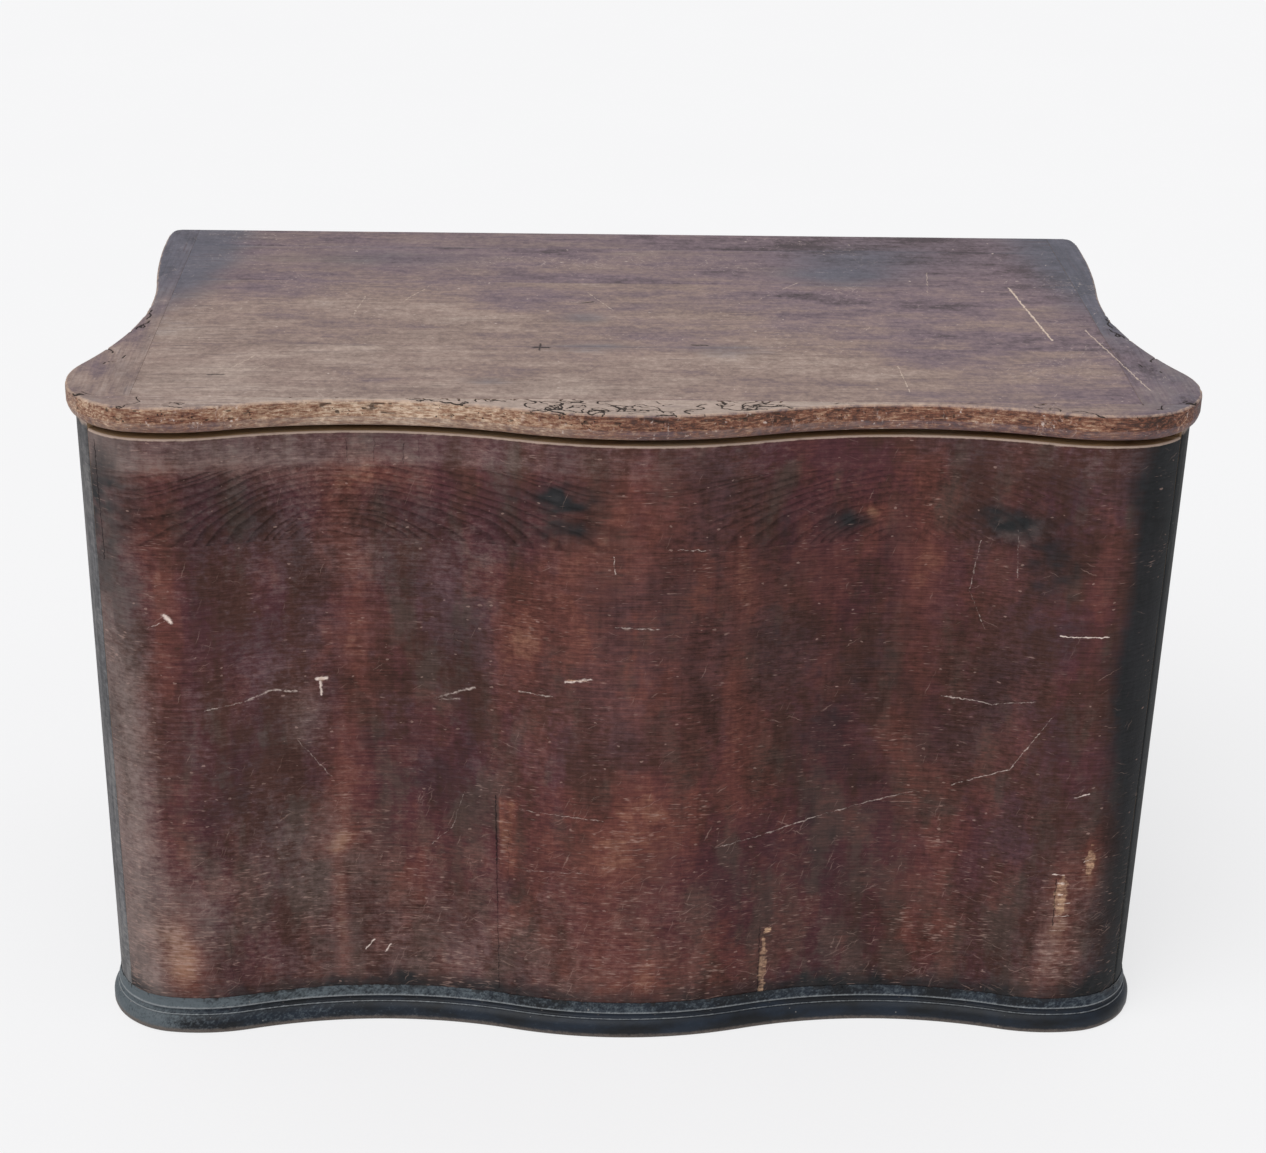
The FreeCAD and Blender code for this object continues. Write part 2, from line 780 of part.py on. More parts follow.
front_boards()
side_staves()
back_boards()
bottom_boards()
floor_runners()
plinth()
plinth_brads()
plinth_glue_blocks()
corner_posts()
lid_boards()
lid_battens()
hinges()
nail_groups()
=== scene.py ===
import math
import bmesh
import bpy
import numpy as np
from mathutils import Matrix, Vector, kdtree


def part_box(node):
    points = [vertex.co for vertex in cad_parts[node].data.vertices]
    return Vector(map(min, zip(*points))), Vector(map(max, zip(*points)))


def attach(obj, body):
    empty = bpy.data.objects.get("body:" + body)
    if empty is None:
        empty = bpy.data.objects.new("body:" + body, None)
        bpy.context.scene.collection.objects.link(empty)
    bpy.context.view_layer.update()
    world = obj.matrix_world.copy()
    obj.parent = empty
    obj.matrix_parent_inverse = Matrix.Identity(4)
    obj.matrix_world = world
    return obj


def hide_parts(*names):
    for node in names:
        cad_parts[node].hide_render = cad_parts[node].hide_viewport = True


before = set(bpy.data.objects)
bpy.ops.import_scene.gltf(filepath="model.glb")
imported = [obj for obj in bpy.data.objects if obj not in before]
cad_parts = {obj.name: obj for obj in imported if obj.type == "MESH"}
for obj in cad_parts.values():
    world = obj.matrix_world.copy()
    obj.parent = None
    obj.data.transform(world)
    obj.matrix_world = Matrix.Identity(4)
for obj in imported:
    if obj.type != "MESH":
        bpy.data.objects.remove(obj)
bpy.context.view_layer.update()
print("frame loaded:", len(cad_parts), "pieces")


# Small tools

def hexColour(code):
    # sRGB hex, as a paint program writes it, to the linear colour of the shaders
    parts = [int(code[i:i + 2], 16) / 255 for i in (1, 3, 5)]
    linear = [p / 12.92 if p <= 0.04045 else ((p + 0.055) / 1.055) ** 2.4 for p in parts]
    return linear + [1.0]


def smooth(value, low, high):
    # Soft step from 0 at low to 1 at high
    t = np.clip((value - low) / (high - low), 0, 1)
    return t * t * (3 - 2 * t)


def latticeNoise(places, seed):
    # Smooth noise from -1 to 1, one cell to a unit
    cell = np.floor(places).astype(np.int64)
    part = places - cell
    part = part * part * (3 - 2 * part)
    result = np.zeros(len(places))
    for corner in np.ndindex(2, 2, 2):
        c = cell + np.array(corner)
        h = c[:, 0] * 73856093 ^ c[:, 1] * 19349663 ^ c[:, 2] * 83492791 ^ (seed + 1) * 2654435761
        h &= 0xffffffff
        h = ((h ^ (h >> 15)) * 2246822519) & 0xffffffff
        h = ((h ^ (h >> 13)) * 3266489917) & 0xffffffff
        h ^= h >> 16
        weight = np.prod(np.where(np.array(corner) == 1, part, 1 - part), axis=1)
        result += weight * (h / 2147483647.5 - 1)
    return result


def roughness(places, size, seed, octaves=3):
    # Several sizes of noise on top of each other; size is the largest, in metres per axis
    result = np.zeros(len(places))
    share = 1.0
    for octave in range(octaves):
        result += share * latticeNoise(places / np.array(size) * 2 ** octave, seed + octave)
        share /= 2
    return result / 1.75


# Plan of the chest: an S-curved front and waisted sides, drawn with tangent arcs (metres)

plan = {
    "frontY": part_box("front_board_3")[0].y,
    "backY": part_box("back_board_1")[1].y,
    "halfWidth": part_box("bottom_board_1")[1].x,
    "sideEndY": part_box("back_board_1")[0].y,
    "wall": 0.028,
    "valleyDepth": 0.0354,
    "crestSetback": 0.009,
    "crestInset": 0.0949,
    "valleyToCrest": 0.1995,
    "swellShare": 0.459,
    "crestShare": 0.270,
    "cornerRadius": 0.0756,
    "cornerJoint": math.radians(-40.6),
    "waistInset": 0.0521,
    "waistSetback": 0.314,
    "hipInset": 0.0371,
    "hipToBack": 0.0478,
    "waistShare": 0.309,
}


def planArcs(p):
    # Right half, from the middle of the front to the back: x, y, radius, side, start, end
    half, frontY = p["halfWidth"], p["frontY"]
    crestX = half - p["crestInset"]
    valleyX = crestX - p["valleyToCrest"]
    crestRise = p["valleyDepth"] - p["crestSetback"]
    swellSum = (valleyX ** 2 + p["valleyDepth"] ** 2) / (2 * p["valleyDepth"])
    crestSum = (p["valleyToCrest"] ** 2 + crestRise ** 2) / (2 * crestRise)
    swellR, crestR = p["swellShare"] * swellSum, p["crestShare"] * crestSum
    innerR, outerR = swellSum - swellR, crestSum - crestR
    valleyY = frontY + p["valleyDepth"]
    swellY, innerY, outerY = frontY + swellR, valleyY - innerR, valleyY - outerR
    crestY = frontY + p["crestSetback"] + crestR
    cornerR = p["cornerRadius"]
    cornerX = half - cornerR
    cornerY = crestY - math.sqrt((crestR - cornerR) ** 2 - (cornerX - crestX) ** 2)
    waistX, waistY = half - p["waistInset"], frontY + p["waistSetback"]
    hipX, hipY = half - p["hipInset"], p["backY"] - p["hipToBack"]
    flare = (waistX - cornerX) ** 2 + (waistY - cornerY) ** 2 - cornerR ** 2
    flareR = flare / (2 * p["waistInset"])
    hipSum = ((hipY - waistY) ** 2 + (hipX - waistX) ** 2) / (2 * (hipX - waistX))
    waistR = p["waistShare"] * hipSum
    hipR = hipSum - waistR
    swellEnd = math.atan2(innerY - swellY, valleyX)
    crestStart = math.atan2(outerY - crestY, valleyX - crestX)
    cornerStart = math.atan2(cornerY - crestY, cornerX - crestX)
    cornerEnd = math.atan2(waistY - cornerY, waistX + flareR - cornerX)
    hipStart = math.atan2(waistY - hipY, waistX + waistR - hipX + hipR)
    pi = math.pi
    return np.array([
        (0, swellY, swellR, 1, -pi / 2, swellEnd),
        (valleyX, innerY, innerR, -1, swellEnd + pi, pi / 2),
        (valleyX, outerY, outerR, -1, pi / 2, crestStart + pi),
        (crestX, crestY, crestR, 1, crestStart, cornerStart),
        (cornerX, cornerY, cornerR, 1, cornerStart, cornerEnd),
        (waistX + flareR, waistY, flareR, -1, cornerEnd + pi, pi),
        (waistX + waistR, waistY, waistR, -1, pi, hipStart + pi),
        (hipX - hipR, hipY, hipR, 1, hipStart, math.asin(p["hipToBack"] / hipR)),
    ])


arcs = planArcs(plan)
frontArcs = arcs[:5].copy()
frontArcs[4, 5] = plan["cornerJoint"]
sideArcs = arcs[4:].copy()
sideArcs[0, 4] = plan["cornerJoint"]


def stations(chain, step, tight=()):
    # Places along a chain of arcs about one step apart, as arc number and share of that arc;
    # tight adds places at these distances from both ends
    numbers, shares = [], []
    for number, arc in enumerate(chain):
        length = arc[2] * abs(arc[5] - arc[4])
        count = max(2, round(length / step))
        share = np.arange(count) / count
        near = np.array(tight) / length
        if number == 0:
            share = np.union1d(share[(share == 0) | (share > near.max(initial=0))], near)
        if number == len(chain) - 1:
            share = np.append(share, 1.0)
            keep = (share == 1) | (share < 1 - near.max(initial=0))
            share = np.union1d(share[keep], 1 - near)
        numbers += [number] * len(share)
        shares += list(share)
    return np.array(numbers), np.array(shares)


def alongPlan(chain, places, offsets, startY=None, endY=None):
    # Points at offsets from the plan, at each station; the first and last arc can stop on a
    # plane across the chest. Gives x and y, station by offset
    numbers, shares = places
    x, y, radius, side, start, end = (column[:, None] for column in chain[numbers].T)
    reach = radius + side * offsets
    start = np.broadcast_to(start, reach.shape).copy()
    end = np.broadcast_to(end, reach.shape).copy()
    if startY is not None:
        rows = numbers == 0
        start[rows] = np.arcsin((startY - y[rows]) / reach[rows])
    if endY is not None:
        rows = numbers == len(chain) - 1
        end[rows] = np.arcsin((endY - y[rows]) / reach[rows])
    angle = start + shares[:, None] * (end - start)
    return np.stack([x + reach * np.cos(angle), y + reach * np.sin(angle)], -1)


def splitChain(chain, count):
    # Divides a chain into runs of equal length
    lengths = chain[:, 2] * np.abs(chain[:, 5] - chain[:, 4])
    ends = np.cumsum(lengths)
    cuts = ends[-1] * np.arange(count + 1) / count
    runs = []
    for low, high in zip(cuts, cuts[1:]):
        run = []
        for arc, length, end in zip(chain, lengths, ends):
            a = max(0.0, (low - end + length) / length)
            b = min(1.0, (high - end + length) / length)
            if b - a > 1e-6:
                piece = arc.copy()
                piece[4] = arc[4] + a * (arc[5] - arc[4])
                piece[5] = arc[4] + b * (arc[5] - arc[4])
                run.append(piece)
        runs.append(np.array(run))
    return runs


# Meshes: every board is a closed loft of rings, with one ring of points to a station

def swept(chain, places, offsets, heights, startY=None, endY=None):
    # Rings of an (offset, height) section carried along the plan
    flat = alongPlan(chain, places, offsets, startY, endY)
    heights = np.broadcast_to(heights, flat.shape[:2])
    return np.concatenate([flat, heights[..., None]], -1)


def extruded(xs, section):
    # Rings of a (y, z) section carried straight across the chest
    rings = np.empty((len(xs), len(section), 3))
    rings[..., 0] = xs[:, None]
    rings[..., 1:] = section
    return rings


def mirrored(rings):
    return rings * np.array([-1, 1, 1])


def bothHalves(rings):
    # A loft that starts in the middle plane, carried on to the left
    return np.concatenate([mirrored(rings[:0:-1]), rings])


def loft(name, rings, materials, inner=None, unrolled=None, ends=1):
    # Builds the closed mesh; points that fall together are merged. inner marks the points
    # around a ring whose strip takes the second material, and ends is the material of the two
    # end faces. Also gives back each point's place on the unrolled surface, where that is known
    count, around = rings.shape[:2]
    keys = np.round(rings.reshape(-1, 3) * 1e6).astype(np.int64)
    _, first, back = np.unique(keys, axis=0, return_index=True, return_inverse=True)
    index = back.reshape(count, around)
    beside = np.roll(index, -1, axis=1)
    quads = np.stack([index[:-1], index[1:], beside[1:], beside[:-1]], -1).reshape(-1, 4)
    slots = np.zeros(around, int) if inner is None else np.array(inner, int)
    slots = np.tile(slots, count - 1)
    faces, faceSlots = [], []
    for face, slot in list(zip(quads.tolist(), slots)) + [
            (index[0].tolist(), ends), (index[-1].tolist(), ends)]:
        kept = [v for v, last in zip(face, face[-1:] + face[:-1]) if v != last]
        if len(kept) > 2 and len(set(kept)) == len(kept):
            faces.append(kept)
            faceSlots.append(min(slot, len(materials) - 1))
    mesh = bpy.data.meshes.new(name)
    mesh.from_pydata(rings.reshape(-1, 3)[first].tolist(), [], faces)
    for material in materials:
        mesh.materials.append(material)
    mesh.polygons.foreach_set("material_index", faceSlots)
    work = bmesh.new()
    work.from_mesh(mesh)
    bmesh.ops.recalc_face_normals(work, faces=work.faces)
    work.to_mesh(mesh)
    work.free()
    piece = bpy.data.objects.new(name, mesh)
    bpy.context.scene.collection.objects.link(piece)
    return piece, None if unrolled is None else unrolled.reshape(-1, 2)[first]


def finishPiece(piece, body, node, grain, wear=None, layers=None, smoothAngle=38):
    # Wears the surface inwards, writes what the materials read, and hangs the piece in the frame
    mesh = piece.data
    co = np.empty(len(mesh.vertices) * 3)
    no = np.empty(len(mesh.vertices) * 3)
    mesh.vertices.foreach_get("co", co)
    mesh.vertices.foreach_get("normal", no)
    co, no = co.reshape(-1, 3), no.reshape(-1, 3)
    found = {"grain": grain(co)}
    if layers:
        found.update(layers(co, no))
    if wear:
        depth, more = wear(co, no)
        found.update(more)
        mesh.vertices.foreach_set("co", (co - no * depth[:, None]).ravel())
    for name, values in found.items():
        kind = "FLOAT_VECTOR" if values.ndim == 2 else "FLOAT"
        layer = mesh.attributes.new(name, kind, "POINT")
        layer.data.foreach_set("vector" if values.ndim == 2 else "value", values.ravel())
    mesh.polygons.foreach_set("use_smooth", [True] * len(mesh.polygons))
    mesh.update()
    mesh.set_sharp_from_angle(angle=math.radians(smoothAngle))
    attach(piece, body)
    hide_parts(node)
    return piece


def boardSection(low, high, outer, inner, fine, coarse, arris):
    # Ring of (offset, height) points of a board on edge, from the inside bottom up the outside.
    # arris: radius of the outer bottom and outer top edge
    lowR, highR = arris
    backArris = 0.0008
    up = np.linspace(low + lowR, high - highR, max(2, round((high - low) / fine) + 1))
    down = np.linspace(high - backArris, low + backArris, max(2, round((high - low) / coarse) + 1))
    across = np.linspace(0.25, 0.75, 3)
    ring = [(inner + (outer - inner) * t, low) for t in across]
    ring += [(outer - lowR + lowR * math.sin(a), low + lowR - lowR * math.cos(a))
             for a in np.linspace(0, math.pi / 2, 4)[:-1]]
    startUp = len(ring)
    ring += [(outer, z) for z in up]
    endUp = len(ring)
    ring += [(outer - highR + highR * math.cos(a), high - highR + highR * math.sin(a))
             for a in np.linspace(0, math.pi / 2, 5)[1:]]
    ring += [(outer + (inner - outer) * t, high) for t in across]
    ring += [(inner + backArris, high)]
    ring += [(inner, z) for z in down]
    ring += [(inner + backArris, low)]
    ring = np.array(ring)
    hidden = np.ones(len(ring), int)
    hidden[startUp - 3:endUp + 3] = 0
    return ring, hidden


# Materials

def add(tree, kind, inputs=None, out=0, stops=None, **settings):
    # Adds a node, sets it up, fills or links its inputs, and gives back one output. A name as
    # an input stands for the number that the mesh carries under it at each point
    inputs = {key: add(tree, "Attribute", out="Fac", attribute_name=value)
              if isinstance(value, str) else value for key, value in (inputs or {}).items()}
    node = tree.nodes.new("ShaderNode" + kind)
    for name, value in settings.items():
        setattr(node, name, value)
    for key, value in inputs.items():
        if isinstance(value, bpy.types.NodeSocket):
            tree.links.new(value, node.inputs[key])
        else:
            node.inputs[key].default_value = value
    if stops:
        ramp = node.color_ramp
        while len(ramp.elements) < len(stops):
            ramp.elements.new(0.5)
        for element, (place, colour) in zip(ramp.elements, stops):
            element.position = place
            element.color = hexColour(colour) if isinstance(colour, str) else (colour,) * 3 + (1,)
    return node.outputs[out]


def newMaterial(name):
    material = bpy.data.materials.new(name)
    material.use_nodes = True
    tree = material.node_tree
    tree.nodes.clear()
    return material, tree, add(tree, "TexCoord", out="Object")


def total(tree, *terms, plus=0.0):
    # Sum of pattern × factor terms, and a fixed number
    if not terms:
        return plus
    result = 0.0
    for pattern, factor in terms:
        result = add(tree, "Math", {0: pattern, 1: factor, 2: result}, operation="MULTIPLY_ADD")
    return add(tree, "Math", {0: result, 1: plus}, operation="ADD") if plus else result


def mask(tree, low, high, most, *terms):
    # Rises from 0 to most where a sum of patterns goes from low to high
    return add(tree, "MapRange", {0: total(tree, *terms), 1: low, 2: high, 3: 0.0, 4: most},
               interpolation_type="SMOOTHSTEP")


def coat(tree, colour, code, low, high, most, *terms):
    # A coat of colour over the last one, where such a mask lets it lie
    where = mask(tree, low, high, most, *terms)
    return add(tree, "Mix", {0: where, 6: colour, 7: hexColour(code)}, out=2,
               data_type="RGBA"), where


def touched(tree, colour, code, where, share, clamp=False):
    # A colour laid on in spots or lines, thinned by share
    where = add(tree, "Math", {0: where, 1: share}, operation="MULTIPLY", use_clamp=clamp)
    return add(tree, "Mix", {0: where, 6: colour, 7: hexColour(code)}, out=2,
               data_type="RGBA"), where


def shaded(tree, colour, plus, *terms):
    # Lightens and darkens a colour by a sum of patterns
    return add(tree, "VectorMath", {0: colour, "Scale": total(tree, *terms, plus=plus)},
               operation="SCALE")


def surface(tree, colour, rough, height, depth, specular=0.5, metallic=0.0):
    # The shader at the end of each material. rough is a fixed number and the terms on top of
    # it, height lists terms, and depth is the bump's real height in metres
    rough = total(tree, *rough[1:], plus=rough[0])
    height = total(tree, *height)
    bump = add(tree, "Bump", {"Height": height, "Distance": depth, "Strength": 1.0})
    shader = add(tree, "BsdfPrincipled", {
        "Base Color": colour, "Roughness": rough, "Normal": bump,
        "Specular IOR Level": specular, "Metallic": metallic})
    output = tree.nodes.new("ShaderNodeOutputMaterial")
    tree.links.new(shader, output.inputs["Surface"])


def stretched(tree, vector, size, seed=0.0, **noise):
    # Noise whose features have this size in millimetres along each axis
    scaled = add(tree, "VectorMath", {0: vector, 1: [1000 / s for s in size]},
                 operation="MULTIPLY")
    shifted = add(tree, "VectorMath", {0: scaled, 1: (seed * 7.1, seed * 3.7, seed * 5.3)},
                  operation="ADD")
    return add(tree, "TexNoise", {"Vector": shifted, "Scale": 1.0, "Detail": 2.0,
                                  "Roughness": 0.55, **noise})


def pineRings(tree, grain, look):
    # Softwood: each year's pale early wood darkens into a thin hard line of late wood.
    # grain runs along its first axis and starts at the pith
    wander = look["ringWander"] / 500
    slow = stretched(tree, grain, (700, 140, 140), 1.0).node.outputs["Color"]
    drift = add(tree, "VectorMath", {0: slow, 1: (0.5, 0.5, 0.5)}, operation="SUBTRACT")
    drift = add(tree, "VectorMath", {0: drift, 1: (0, wander, wander)}, operation="MULTIPLY")
    small = stretched(tree, grain, (60, 12, 12), 4.0, Detail=1.0).node.outputs["Color"]
    small = add(tree, "VectorMath", {0: small, 1: (0, 0.0011, 0.0011)}, operation="MULTIPLY")
    moved = add(tree, "VectorMath", {0: grain, 1: drift}, operation="ADD")
    moved = add(tree, "VectorMath", {0: moved, 1: small}, operation="ADD")
    across = add(tree, "VectorMath", {0: moved, 1: (0, 1, 1)}, operation="MULTIPLY")
    radius = add(tree, "VectorMath", {0: across}, out="Value", operation="LENGTH")
    years = add(tree, "Math", {0: radius, 1: 1000 / look["ringWidth"]}, operation="MULTIPLY")
    uneven = add(tree, "TexNoise", {"W": years, "Scale": 0.21, "Detail": 2.0},
                 noise_dimensions="1D")
    uneven = add(tree, "Math", {0: uneven, 1: 4.5, 2: years}, operation="MULTIPLY_ADD")
    part = add(tree, "Math", {0: uneven}, operation="FRACT")
    return add(tree, "ValToRGB", {"Fac": part}, stops=[
        (0.0, 0.55), (0.10, 0.0), (0.50, 0.10), (0.80, 0.75), (0.93, 1.0), (1.0, 0.55)])


def specks(tree, vector, cell, share, size):
    # Small round nicks: some of the cells hold one, each with its own size (mm)
    scaled = add(tree, "VectorMath", {0: vector, "Scale": 1000 / cell}, operation="SCALE")
    voronoi = add(tree, "TexVoronoi", {"Vector": scaled, "Scale": 1.0}, out="Distance").node
    chosen = add(tree, "SeparateColor", {0: voronoi.outputs["Color"]}).node
    radius = add(tree, "MapRange", {0: chosen.outputs[0], 1: 1 - share, 2: 1.0, 3: 0.0,
                                    4: size / cell})
    gap = add(tree, "Math", {0: radius, 1: voronoi.outputs["Distance"]}, operation="SUBTRACT")
    return mask(tree, 0.0, 0.25 * size / cell, 1.0, (gap, 1.0))


bend = 0.0044                    # m; how far scratches are bent out of line


def bentPlace(tree, place):
    noise = stretched(tree, place, (6, 6, 6), 9.0).node.outputs["Color"]
    return add(tree, "VectorMath", {0: noise, 1: (bend,) * 3, 2: place},
               operation="MULTIPLY_ADD")


def slashes(tree, vector, axis, size, turns, found, *fit):
    # Long straight scratches at a few slants, each with its own noise
    for turn, seed in turns:
        turned = add(tree, "VectorRotate", {"Vector": vector, "Angle": math.radians(turn)},
                     rotation_type=axis)
        slash = stretched(tree, turned, size, seed, Detail=1.0)
        slash = mask(tree, *fit[:3], (slash, 1.0), *fit[3:])
        found = add(tree, "Math", {0: found, 1: slash}, operation="MAXIMUM")
    return found


def marks(tree, vector, plane, listed):
    # Scratches at given places: from and to in that plane, width in mm, strength.
    # The bending noise moves the place by half of bend on average, so the lines move along.
    # Minimum and maximum hold the values, as clamped nodes fill the shader's memory
    flatten = Vector([letter in plane for letter in "xyz"])
    place = add(tree, "VectorMath", {0: vector, 1: flatten}, operation="MULTIPLY")
    found = 0.0
    for u1, v1, u2, v2, width, strength in listed:
        a, b = [(Vector((u, 0, v) if plane == "xz" else (u, v, 0)) + Vector((bend / 2,) * 3))
                * flatten for u, v in ((u1, v1), (u2, v2))]
        run = b - a
        offset = add(tree, "VectorMath", {0: place, 1: a}, operation="SUBTRACT")
        share = add(tree, "VectorMath", {0: offset, 1: run / max(run.length_squared, 1e-9)},
                    out="Value", operation="DOT_PRODUCT")
        share = add(tree, "Math", {0: share, 1: 0.0}, operation="MAXIMUM")
        share = add(tree, "Math", {0: share, 1: 1.0}, operation="MINIMUM")
        nearest = add(tree, "VectorMath", {0: run, "Scale": share}, operation="SCALE")
        gap = add(tree, "VectorMath", {0: offset, 1: nearest}, out="Value", operation="DISTANCE")
        line = add(tree, "Math", {0: gap, 1: -2160 * strength / width, 2: 1.27 * strength},
                   operation="MULTIPLY_ADD")
        found = add(tree, "Math", {0: found, 1: line}, operation="MAXIMUM")
    return add(tree, "Math", {0: found, 1: 1.0}, operation="MINIMUM")


def drawn(tree, colour, code, line, low, high, most, gap):
    # Drawn marks, broken up by a noise
    whole = mask(tree, low, high, most, (line, 1.0), gap)
    return touched(tree, colour, code, whole, line, clamp=True)[0]


# Stained pine of the front. A red-brown spirit stain, brushed thinly over planed pine and
# waxed: the eye sees maroon and brown patches, fine level grain, and redder wood where hands
# and knees have rubbed it upright

frontStain = {
    "maroon": "#43262a", "brown": "#432b26", "violet": "#4a3a42", "redBrown": "#5f3730",
    "orange": "#84604d", "olive": "#443833", "grey": "#6f625e", "grimeAndPaintedLight": "#1e2123",
    "scratch": "#a98d83", "crack": "#1b1213", "chip": "#dac8bf", "rim": "#b7a294",
    "bare": "#c6a285",
    "lateWood": 0.55,            # how much darker the late wood is
    "ringWidth": 4.2,            # mm
    "ringWander": 9.0,           # mm
}

# Marks on the front: from and to (x, z in metres), width in mm, strength
frontMarks = [
    (-0.477, 0.506, -0.47, 0.499, 6.5, 1), (-0.498, 0.488, -0.477, 0.5, 1.6, 0.5),
    (-0.327, 0.4225, -0.3185, 0.4225, 6.5, 1), (-0.324, 0.419, -0.3235, 0.404, 4, 0.8),
    (-0.442, 0.396, -0.402, 0.402, 2.2, 0.5), (-0.402, 0.402, -0.374, 0.413, 4.4, 0.5),
    (-0.374, 0.413, -0.344, 0.4085, 4.6, 0.6), (-0.205, 0.401, -0.164, 0.417, 4.2, 0.48),
    (-0.202, 0.4, -0.18, 0.402, 3.4, 0.4), (-0.07, 0.434, -0.044, 0.439, 5, 0.8),
    (-0.118, 0.418, -0.084, 0.416, 2.6, 0.5), (-0.023, 0.579, -0.0215, 0.56, 2, 0.6),
    (0.04, 0.586, 0.074, 0.5845, 2.2, 0.55), (-0.02, 0.5, 0.025, 0.497, 2.4, 0.5),
    (0.35, 0.587, 0.343, 0.53, 1.6, 0.42), (0.343, 0.53, 0.362, 0.486, 1.6, 0.42),
    (0.386, 0.601, 0.39, 0.548, 1.6, 0.4), (0.438, 0.4868, 0.488, 0.4862, 2.2, 0.9),
    (0.324, 0.406, 0.376, 0.4, 2.4, 0.6), (0.376, 0.4, 0.42, 0.408, 1.8, 0.45),
    (0.44, 0.395, 0.4, 0.324, 1.8, 0.5), (0.4, 0.324, 0.342, 0.299, 2.2, 0.55),
    (0.306, 0.29, 0.23, 0.268, 1.8, 0.42), (0.23, 0.268, 0.142, 0.242, 2, 0.5),
    (0.142, 0.242, 0.09, 0.233, 1.8, 0.45), (-0.35, 0.352, -0.316, 0.305, 2, 0.45),
    (-0.176, 0.29, -0.19, 0.245, 1.5, 0.4), (-0.19, 0.245, -0.215, 0.22, 1.5, 0.4),
    (-0.117, 0.277, -0.03, 0.271, 1.8, 0.45), (-0.115, 0.202, -0.05, 0.205, 1.8, 0.4),
    (-0.286, 0.087, -0.277, 0.099, 2.6, 0.8), (-0.265, 0.083, -0.258, 0.093, 2.8, 0.8),
    (0.456, 0.2005, 0.469, 0.199, 2, 0.85), (0.464, 0.189, 0.469, 0.188, 4.6, 0.8),
    (0.465, 0.175, 0.469, 0.1745, 4.6, 0.8), (0.466, 0.162, 0.478, 0.164, 2, 0.75),
    (0.464, 0.147, 0.479, 0.1475, 1.8, 0.65), (0.46, 0.129, 0.476, 0.128, 1.8, 0.6),
    (0.488, 0.215, 0.497, 0.219, 2, 0.7), (0.47, 0.296, 0.486, 0.3, 2.4, 0.75),
]
# Dark upright cracks and scuffs, listed in the same way
frontCracks = [
    (-0.143, 0.29, -0.142, 0.205, 2.6, 0.95), (-0.142, 0.205, -0.14, 0.045, 1.8, 0.8),
    (-0.129, 0.25, -0.13, 0.17, 1.5, 0.6), (-0.43, 0.13, -0.429, 0.06, 1.5, 0.6),
    (-0.342, 0.175, -0.34, 0.115, 1.4, 0.5), (0.144, 0.125, 0.1455, 0.03, 2, 0.85),
    (0.054, 0.25, 0.055, 0.18, 1.5, 0.55), (0.242, 0.54, 0.243, 0.47, 1.4, 0.5),
    (0.461, 0.195, 0.462, 0.135, 2.2, 0.9), (-0.29, 0.69, -0.289, 0.664, 1.8, 0.7),
    (-0.262, 0.69, -0.263, 0.666, 1.6, 0.6), (-0.233, 0.686, -0.234, 0.664, 1.6, 0.7),
    (-0.218, 0.69, -0.217, 0.668, 1.6, 0.6), (-0.537, 0.69, -0.535, 0.56, 2, 0.95),
]


